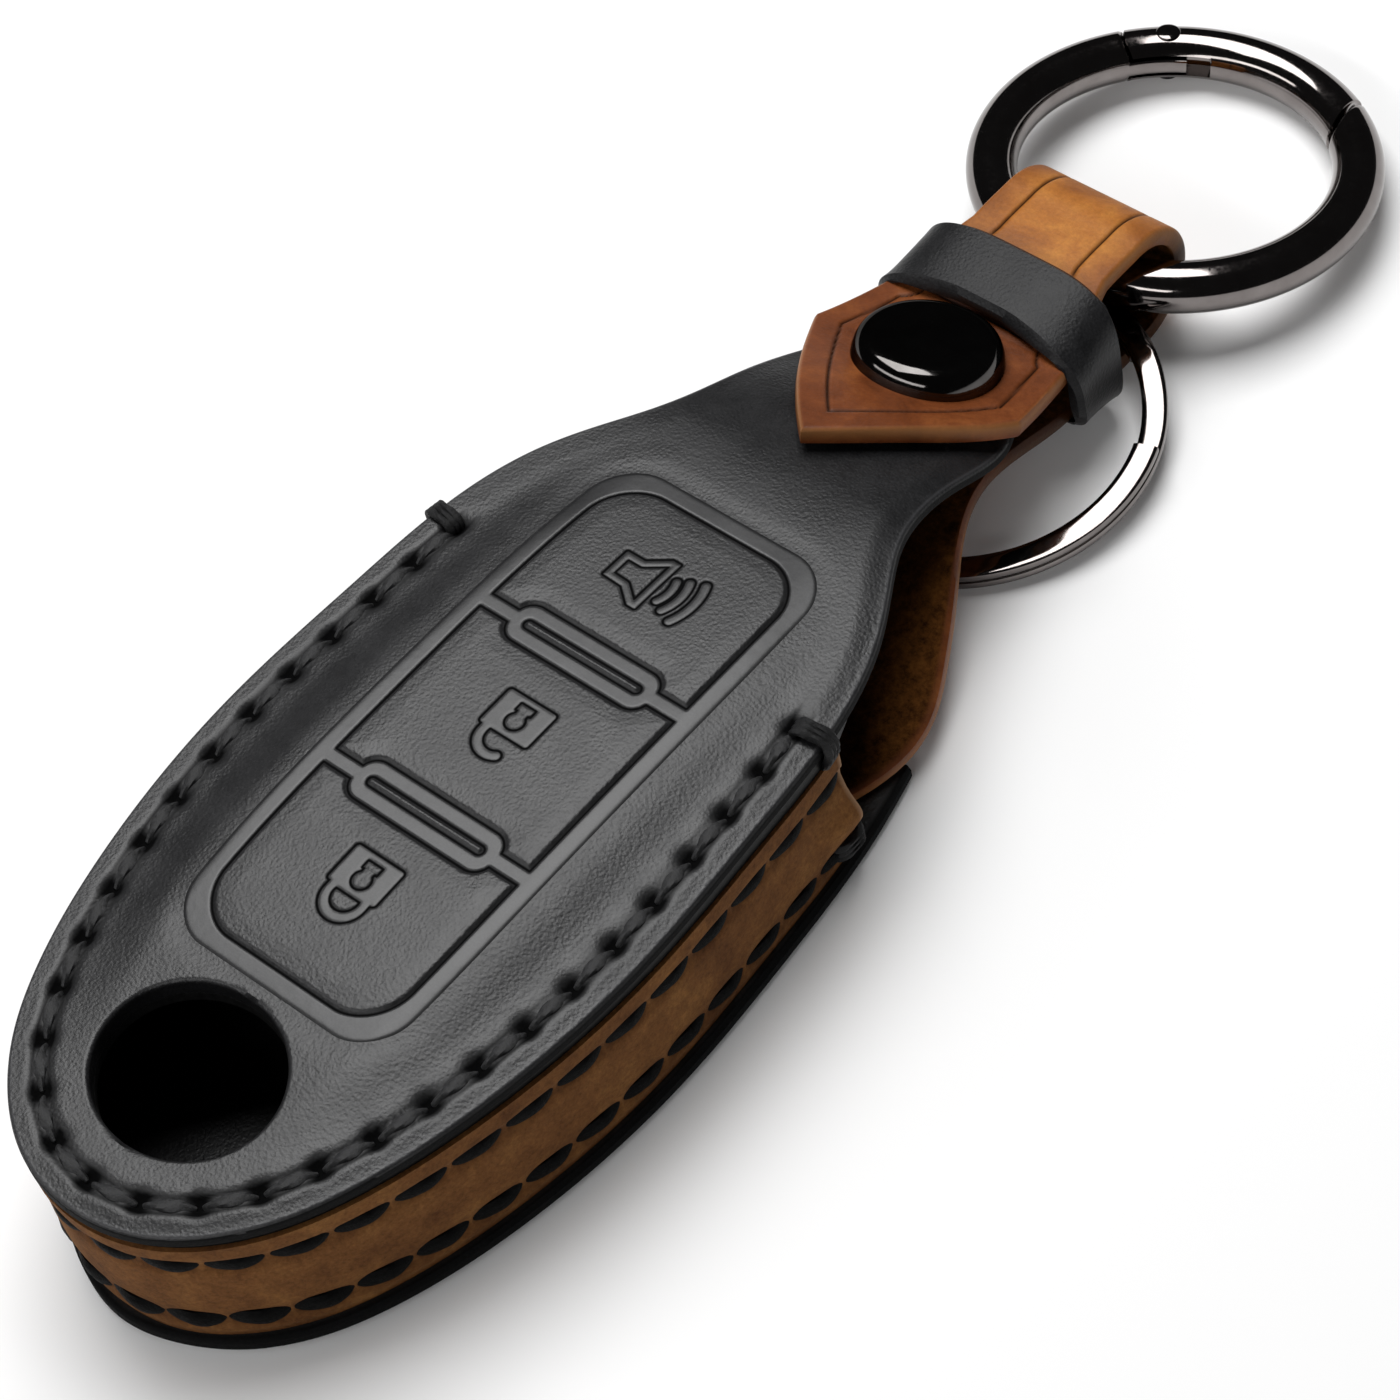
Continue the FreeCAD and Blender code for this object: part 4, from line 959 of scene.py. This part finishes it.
top = LOOP_AT + (0, LOOP_RADIUS)
hinge = np.array([HINGE_AT, tip_level(HINGE_AT - HINGE_GAP)])
run_shares, rise_shares = np.array([0, 0.16, 0.38, 0.62, 0.83]), np.array([0, 0.28, 0.75, 1.04, 1.06])
upper = top + (hinge - top) * np.stack([1 - run_shares, 1 - rise_shares], axis=1)
upper = line_through(np.concatenate([[top], upper[::-1]]), 120, ends=np.array([[-1.0, 0], [-1.0, 0]]))
strap_path = np.concatenate([lower, loop, upper])
print("strap path", round(arc_length(strap_path)[-1], 1), "mm")

# %% Strap ribbon
TONGUE_HALF, PLY_HALF, JOIN_AT = 19.2, 8.98, 114.4
TONGUE_AT = np.array([0.554, 0.618, 0.665, 0.702, 0.739, 0.776, 0.813, 0.850, 0.886, 0.923, 0.979])
TONGUE_SHARES = np.array([0.855, 0.875, 0.965, 1.0, 0.969, 0.880, 0.771, 0.645, 0.540, 0.480, 0.465])
plan = np.concatenate([np.stack([TONGUE_SHARES * TONGUE_HALF, TONGUE_AT * LENGTH], axis=1),
                       [[PLY_HALF, 111.4], [7.3, 119.85]]])
plan = line_through(plan, 600)


def strip_layers(path, rim, scored):
    """Marks on a strip's two sides: scored line painted as shade, painted highlight on the corner, stretched loop,
    flesh side.
    """
    stretched = smoothstep(113, 122, path[:, :1]) * (0.5 + 0.5 * smoothstep(0, 3.5, rim))
    return {"crease": np.concatenate([scored, 0 * rim], axis=1),
            # Painted highlight: a lighter line along the grain side's rounded corner.
            "pale_edge": np.concatenate([0.5 * np.clip(1 - rim / 0.3, 0, 1), 0 * rim], axis=1),
            "pulled": np.concatenate([stretched, stretched[:, ::-1]], axis=1),
            "flesh": np.concatenate([0 * rim, np.clip(rim / 0.25 - 1, 0, 1)[:, ::-1]], axis=1)}


def strip(path, x, rim, score):
    """Leather carried along a path. Each row is a loop: grain side with a scored line, edge, flesh side, edge."""
    ahead = unit(np.gradient(path, axis=0))
    normal = np.stack([ahead[:, 1], -ahead[:, 0]], axis=1)
    scored = bell(rim - score, 0.14)
    grain_side = STRAP_THICK / 2 - rolled(rim, 0.45) - 0.22 * scored
    flesh_side = -STRAP_THICK / 2 + rolled(rim, 0.3)
    height = np.concatenate([grain_side, flesh_side[:, ::-1]], axis=1)[..., None]
    across = np.concatenate([x, x[:, ::-1]], axis=1)[..., None]
    points = np.concatenate([across, path[:, None] + normal[:, None] * height], axis=-1)
    points, layers = closed_ends(points, strip_layers(path, rim, scored))
    return points, grid_quads(len(points), points.shape[1], closed_columns=True), layers


path = evenly(strap_path, 460)
path = path[: np.nonzero((path[:, 0] < JOIN_AT) & (path[:, 1] > 8))[0][0] + 1]
half = np.interp(path[:, 0], plan[:, 1], plan[:, 0])[:, None]
s = np.linspace(-1, 1, 64)
x = half * (s + 0.10 * np.sin(np.pi * s))
points, quads, layers = strip(path, x, half - np.abs(x), 3.0)
# Painted shade: the lower ply's edges beside the neck, which lie in shade, are darkened through the crease layer.
edge_share = np.abs(points[..., 0]) / np.abs(points[..., 0]).max(axis=1, keepdims=True)
lower_ply = (1 - smoothstep(7, 9, points[..., 2])) * smoothstep(92, 98, points[..., 1])
layers["crease"] = np.maximum(layers["crease"], 0.75 * smoothstep(0.88, 0.95, edge_share) * lower_ply)
add_piece("strap_leather", points, quads, tan_leather, "case", ["strap"], layers)

# %% [markdown]
# ## Strap tip
#
# The shield at the strap's end, from inside the keeper to its point. Its middle line follows the strap inside the
# keeper and lies a gap above the neck beyond it. The scored line follows the shield's sides.

# %% Strap tip
SHOULDER, SHOULDER_AT, ROOT, POINT_AT = 11.3, 102.65, 9.8, HINGE_AT - TIP_LENGTH
chord = np.array([SHOULDER, SHOULDER_AT - POINT_AT])
share = np.linspace(0, 1, 60)[:, None]
side_line = (0, POINT_AT) + share * chord + 4 * 0.045 * share * (1 - share) * (chord[1], -chord[0])
side_line = np.concatenate([side_line, [[ROOT, HINGE_AT], [PLY_HALF, 111.6], [8.4, JOIN_AT]]])
shield = np.concatenate([side_line, (side_line * (-1, 1))[::-1], side_line[:1]])
tip_y = np.concatenate([POINT_AT + 3.2 * np.linspace(0.01, 1, 26) ** 1.6,
                        np.linspace(POINT_AT + 3.2, JOIN_AT, 130)[1:]])
in_keeper = np.interp(tip_y, upper[::-1, 0], upper[::-1, 1])
middle_z = np.where(tip_y < HINGE_AT - HINGE_GAP, tip_level(tip_y), in_keeper)
s = np.linspace(-1, 1, 84)
x = np.interp(tip_y, side_line[:, 1], side_line[:, 0])[::-1, None] * (s + 0.08 * np.sin(np.pi * s))
rows = np.repeat(tip_y[::-1, None], len(s), axis=1)
rim = nearest(x, rows, shield)
rim = np.where(rows > 112.5, np.minimum(rim + 9, x.max(axis=1, keepdims=True) - np.abs(x)), rim)
points, quads, layers = strip(np.stack([tip_y, middle_z], axis=1)[::-1], x, rim, 2.5)
tip_leather = add_piece("tip_leather", points, quads, tan_leather, None, ["strap_tip"], layers)
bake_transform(tip_leather)


# %% [markdown]
# ## Keeper
#
# A band of black leather round both plies, skived and glued into a loop. It is a flat strip carried round a rounded
# rectangle, with its long edges rolled. Use has widened its near mouth, and on top it is a little longer than below.

# %% Keeper
KEEPER_LENGTH, KEEPER_HALF, KEEPER_THICK, KEEPER_CLEAR = 6.0, 10.7, 1.4, 0.2
AROUND, ACROSS = 180, 15
theta = np.arange(AROUND)[:, None] / AROUND * 2 * np.pi
along_band = np.concatenate([np.linspace(0, 1, ACROSS), np.linspace(1, 0, ACROSS)])
inside = np.concatenate([np.zeros(ACROSS), np.ones(ACROSS)])
on_side = bell(np.abs(np.cos(theta)) - 1, 0.2) * smoothstep(-0.6, 0, np.sin(theta))
front_edge = HINGE_AT + HINGE_GAP + 0.25 * smoothstep(0.7, 0.95, np.sin(theta)) - 1.0 * on_side
stretch = HINGE_AT + HINGE_GAP + KEEPER_LENGTH + 0.8 * smoothstep(0.2, 0.9, np.sin(theta)) - front_edge
y = front_edge + stretch * along_band
flare = (1 - along_band) ** 1.5
reach = STRAP_THICK / 2 + KEEPER_CLEAR + KEEPER_THICK * (1 - inside)
low = np.interp(y, lower[:, 0], lower[:, 1]) - reach
high = np.interp(y, upper[::-1, 0], upper[::-1, 1]) + reach + 0.5 * flare
from_edge = stretch / 2 * (1 - np.abs(2 * along_band - 1))
edge_roll = rolled(from_edge, 0.5) * (1 - inside)


def rounded_ring(theta, half_x, half_z, corner):
    """Points round a rounded rectangle: a superellipse whose power grows as its corners get smaller."""
    power = 2 * np.minimum(half_x, half_z) / corner
    c, s = np.cos(theta), np.sin(theta)
    radius = (np.abs(c / half_x) ** power + np.abs(s / half_z) ** power) ** (-1 / power)
    return radius * c, radius * s


half_x = KEEPER_HALF + 0.8 * flare - KEEPER_THICK * inside - edge_roll
ring_x, ring_z = rounded_ring(theta, half_x, (high - low) / 2 - edge_roll, np.where(inside > 0, 1.0, 3.8))
points = np.stack([ring_x, y, ring_z + (high + low) / 2], axis=-1)
quads = grid_quads(AROUND, points.shape[1], closed_rows=True, closed_columns=True)
# Painted highlight: the keeper's outer edges are lightened through the edge layer.
edge_highlight = np.where(inside > 0, 0, bell(from_edge - 0.2, 0.14))
add_piece("keeper_band", points, quads, black_leather, "case", ["strap_keeper"],
          {"edge": 0.7 * edge_highlight, "matt": 0.9 + 0 * edge_highlight})

# %% [markdown]
# ## Metal
#
# The rings are plated black nickel, a dark mirror; the snap is plated darker still. Both have faint scratches and a
# little unevenness from polishing.

# %% Black nickel
def plated_metal(name, dark, light, edge):
    """Polished plating: base colour from dark to light by a faint haze, an edge tint, roughness from fine scratches."""
    material, tree, shader = new_material(name)
    haze, scratch = noise(tree, 320, 4, 0.6)["Fac"], noise(tree, 1800, 3, 0.6, 1.5)["Fac"]
    feed(tree, shader, Base_Color=ramp(tree, haze, (0.3, dark), (0.7, light)), Metallic=1.0,
         Roughness=ramp(tree, scratch, (0.3, 0.05), (0.75, 0.13)), Specular_Tint=colour_of(edge),
         Normal=bumped(tree, haze, 0.02, 0.0004))
    return material


black_nickel = plated_metal("black nickel", (0.17, 0.152, 0.146), (0.22, 0.20, 0.193), 1.0)
black_snap = plated_metal("black snap plating", (0.07, 0.066, 0.064), (0.10, 0.095, 0.092), 0.35)
for name in ("snap_socket", "snap_stud", "snap_post"):
    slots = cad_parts[name].data.materials
    slots.clear()
    slots.append(black_snap)
print(black_nickel.name, black_snap.name)

# %% [markdown]
# ## Spring gate ring
#
# Round wire bent into a ring. The gate's knuckle is slotted and turns on a pin through the flat tongue of the ring's
# body. Each length of wire is a part of a torus: one parameter runs along the ring and one round the wire. Where a
# length ends on a flat or a round cut, the angle along the ring at which it ends depends on the place round the wire.

# %% Spring gate ring
RING_RADIUS, WIRE_RADIUS, PIN_X, LATCH_X, SIDES = 16.5, 2.35, -10.3, 9.2, 64
IN_LOOP = 7.2  # height of the wire's middle where it hangs in the strap's loop
RING_TILT = math.asin((IN_LOOP - WIRE_RADIUS) / (2 * RING_RADIUS))
RING_AT = np.array([-0.8, 123.6 + RING_RADIUS * math.cos(RING_TILT), (IN_LOOP + WIRE_RADIUS) / 2])


def tilted_axes(angle):
    """Axes of a piece turned about the first axis, its far side raised by the angle."""
    c, s = math.cos(angle), math.sin(angle)
    return np.array([[1, 0, 0], [0, c, s], [0, -s, c]])


ring_axes = tilted_axes(-RING_TILT)
pin_turn = math.asin(PIN_X / RING_RADIUS)
theta = np.arange(SIDES) / SIDES * 2 * np.pi
from_axis = RING_RADIUS + WIRE_RADIUS * np.cos(theta)


def latch_turn(x):
    """Angle along the ring where each line of the wire meets a flat cut at a distance from the middle."""
    return np.arcsin(x / from_axis)


def round_turn(radius):
    """Angle along the ring, away from the pin, where each line of the wire meets a round cut about the pin."""
    return np.arccos((from_axis**2 + RING_RADIUS**2 - radius**2) / (2 * from_axis * RING_RADIUS))


def ring_wire(first, last, steps, shape):
    """Wire between two angles that differ round the wire, with its edges broken and its ends closed.

    Each point is the ring's circle plus the wire's radius turned by theta; shape changes that radius and the height.
    """
    share = np.r_[0, 0, 0, np.linspace(0.003, 0.997, steps), 1, 1, 1][:, None]
    size = np.r_[0, 0.6, 0.95, np.ones(steps), 0.95, 0.6, 0][:, None]
    turn = first + (last - first) * share
    radius, height = shape(turn, size * WIRE_RADIUS * np.cos(theta), size * WIRE_RADIUS * np.sin(theta))
    flat = np.stack([np.sin(turn), np.cos(turn)], axis=-1) * (RING_RADIUS + radius)[..., None]
    local = np.concatenate([flat, height[..., None]], axis=-1)
    return RING_AT + local @ ring_axes, grid_quads(len(share), SIDES, closed_columns=True)


def slotted(turn, radius, height):
    """The gate's knuckle: a slot round the middle height, from its end to a little past the pin."""
    near_pin = 1 - smoothstep(pin_turn + 0.255, pin_turn + 0.27, turn)
    slot = near_pin * (1 - smoothstep(0.87, 0.95, np.abs(height)))
    return radius * (1 - 0.6 * slot), height


def flattened(turn, radius, height):
    """The body's tongue: the wire planed to a flat plate."""
    return radius * 0.985, np.clip(height, -0.75, 0.75)


knuckle_end, hollow_end = pin_turn - round_turn(4.2), pin_turn - round_turn(4.45)
points, quads = ring_wire(latch_turn(LATCH_X + 0.25), hollow_end + 2 * np.pi, 300, lambda t, r, h: (r, h))
add_piece("ring_wire_body", points, quads, black_nickel, "ring", ["ring_body"])
points, quads = ring_wire(hollow_end - 0.05, pin_turn + 0.115 + 0 * theta, 30, flattened)
add_piece("ring_tongue", points, quads, black_nickel, "ring", ["ring_body"])
points, quads = ring_wire(knuckle_end, latch_turn(LATCH_X - 0.25), 220, slotted)
add_piece("ring_wire_gate", points, quads, black_nickel, "gate", ["ring_gate"])

# %% [markdown]
# ## Pin and snap cap
#
# Turned pieces: a half profile spun round an axis. The pin's two heads are low domes on the wire. The cap is pressed
# sheet metal with a rounded shoulder and fine rings on its top from polishing; its shank goes down into the socket.

# %% Pin and snap cap
def turned_piece(profile, centre, axes, steps=96):
    """A half profile of radius and height spun round the third axis; the first and last points lie on it."""
    spin = np.arange(steps) / steps * 2 * np.pi
    radius, height = profile[:, :1], profile[:, 1:]
    local = np.stack([radius * np.cos(spin), radius * np.sin(spin), height + 0 * spin], axis=-1)
    return centre + local @ axes, grid_quads(len(profile), steps, closed_columns=True)


pin_at = RING_AT + np.array([PIN_X, math.sqrt(RING_RADIUS**2 - PIN_X**2), 0]) @ ring_axes
dome = np.linspace(0, np.pi / 2, 10)
head = np.stack([1.15 * np.sin(dome), 2.3 + 0.22 * np.cos(dome)], axis=1)
profile = np.concatenate([head, [[0.7, 2.2]], [[0.7, -2.2]], (head * (1, -1))[::-1]])
points, quads = turned_piece(profile, pin_at, ring_axes, 48)
add_piece("pin_heads", points, quads, black_nickel, "ring", ["gate_pin"])

SNAP_AT, CAP_FLAT, CAP_HEIGHT = 103.5, 4.7, 2.6
snap_slope = math.atan((spine(SNAP_AT + 1.5) - spine(SNAP_AT - 1.5)) / 3)
seat = NECK_GAP + STRAP_THICK
shoulder = [(CAP_FLAT, CAP_HEIGHT), (5.25, 2.53), (5.75, 2.32), (6.13, 1.97), (6.4, 1.5), (6.56, 1.0), (6.65, 0.5),
            (6.68, 0.0)]
shoulder = line_through(shoulder, 44)
top_radius = np.linspace(0, CAP_FLAT, 72)[:-1]
rings = 0.004 * np.sin(2 * np.pi * top_radius / 0.42) * smoothstep(0, 0.6, top_radius)
top_face = np.stack([top_radius, CAP_HEIGHT + rings], axis=1)
shank = [[6.25, 0.0], [3.2, 0.0], [3.2, -STRAP_THICK], [2.7, -STRAP_THICK], [2.7, 2.0], [0, 2.0]]
profile = np.concatenate([top_face, shoulder, shank]) + (0, seat)
points, quads = turned_piece(profile, np.array([0, SNAP_AT, spine(SNAP_AT)]), tilted_axes(snap_slope))
add_piece("snap_cap_dome", points, quads, black_snap, "tip", ["snap_cap"])

# %% [markdown]
# ## Split ring
#
# Flat wire wound twice round, pressed together. It is a rounded rectangle carried along a circle; over a short run it
# climbs from the lower coil to the upper one, and both ends are cut square beside that run.

# %% Split ring
SPLIT_OUTER, SPLIT_WIDTH, COIL_HEIGHT, COIL_PITCH = 17.4, 2.3, 0.95, 1.01
SPLIT_AT, SPLIT_START, SPLIT_RISE = np.array([0.6, 107.647, 2.257]), math.radians(56), 0.0734
turn = np.radians(np.linspace(2.5, 683.5, 520))
climb = COIL_PITCH * (smoothstep(326, 360, np.degrees(turn)) - 0.5)
section = np.arange(40) / 40 * 2 * np.pi
side, level = rounded_ring(section, SPLIT_WIDTH / 2, COIL_HEIGHT / 2, 0.2)
size = np.r_[0, np.ones(len(turn)), 0][:, None]
turn, climb = np.r_[turn[0], turn, turn[-1]][:, None], np.r_[climb[0], climb, climb[-1]][:, None]
radius = SPLIT_OUTER - SPLIT_WIDTH / 2 + size * side
angle = turn + SPLIT_START
local = np.stack([radius * np.cos(angle), radius * np.sin(angle), climb + size * level], axis=-1)
points = SPLIT_AT + local @ tilted_axes(math.asin(SPLIT_RISE))
quads = grid_quads(len(turn), len(section), closed_columns=True)
add_piece("split_coils", points, quads, black_nickel, "split", ["split_ring"])

# %% [markdown]
# ## Table, light and camera
#
# The cover lies on a white table under one large soft light from above on the left, as in a product photograph; a
# narrow strip beyond the nose gives the rim and the snap a sharp line. Seen by the camera and in the metal, the table
# is a little lighter than the lamps alone make it.

# %% Table and light
bpy.ops.mesh.primitive_plane_add(size=6, location=(0, 0, -0.0002))
table = bpy.context.object
table.name = "table"
white, tree, shader = new_material("white table")
feed(tree, shader, Base_Color=colour_of(0.93), Roughness=0.9, Specular_IOR_Level=0.1)
glow = add_node(tree, "ShaderNodeEmission", {"Color": (1, 1, 1, 1), "Strength": 0.05})
lifted = tree.nodes.new("ShaderNodeAddShader")
tree.links.new(shader.outputs[0], lifted.inputs[0])
tree.links.new(glow.outputs[0], lifted.inputs[1])
rays = tree.nodes.new("ShaderNodeLightPath")
shown = shader.outputs[0]
for ray in ("Is Camera Ray", "Is Glossy Ray"):
    chosen = tree.nodes.new("ShaderNodeMixShader")
    tree.links.new(rays.outputs[ray], chosen.inputs[0])
    tree.links.new(shown, chosen.inputs[1])
    tree.links.new(lifted.outputs[0], chosen.inputs[2])
    shown = chosen.outputs[0]
tree.links.new(shown, tree.nodes["Material Output"].inputs["Surface"])
table.data.materials.append(white)


def soft_light(name, place, tall, wide, power):
    """A rectangular soft box that looks at the object: its axis points away from the middle of the cover."""
    lamp = bpy.data.lights.new(name, "AREA")
    lamp.shape = "RECTANGLE"
    lamp.size, lamp.size_y = tall, wide
    lamp.energy = power
    box = bpy.data.objects.new(name, lamp)
    bpy.context.scene.collection.objects.link(box)
    back = np.array(place) - (0, 0.03, 0)
    box.location = place
    box.rotation_euler = (0, math.acos(back[2] / np.linalg.norm(back)), math.atan2(back[1], back[0]))
    print(name, power, "W")


soft_light("overhead box", (-0.20, 0.19, 0.66), 0.50, 0.50, 5.4)
soft_light("nose strip", (-0.07, -0.50, 0.45), 0.12, 1.2, 2.1)
world = bpy.data.worlds.new("studio")
bpy.context.scene.world = world
world.use_nodes = True
feed(world.node_tree, world.node_tree.nodes["Background"], Color=(0.02, 0.02, 0.0205, 1), Strength=1.0)
bpy.context.scene.view_settings.view_transform = "Standard"

# %% Camera
AZIMUTH, ELEVATION, ROLL_ANGLE = math.radians(51.74), math.radians(52.45), math.radians(-14.35)
AIM, DISTANCE = np.array([0.00382, 0.0261, 0.008]), 0.34774
right = np.array([math.cos(AZIMUTH), math.sin(AZIMUTH), 0])
back = np.array([math.sin(AZIMUTH) * math.cos(ELEVATION), -math.cos(AZIMUTH) * math.cos(ELEVATION),
                 math.sin(ELEVATION)])
up = np.cross(back, right)
tilted_right = math.cos(ROLL_ANGLE) * right + math.sin(ROLL_ANGLE) * up
tilted_up = -math.sin(ROLL_ANGLE) * right + math.cos(ROLL_ANGLE) * up
eye = AIM + back * DISTANCE
lens = bpy.data.cameras.new("camera")
lens.sensor_width = 36
lens.lens = 107.93
lens.clip_start, lens.clip_end = 0.01, 20
camera = bpy.data.objects.new("camera", lens)
bpy.context.scene.collection.objects.link(camera)
turned = np.eye(4)
turned[:3, 0], turned[:3, 1], turned[:3, 2], turned[:3, 3] = tilted_right, tilted_up, back, eye
camera.matrix_world = turned.T.tolist()
bpy.context.scene.camera = camera
print("camera at", eye.round(4))
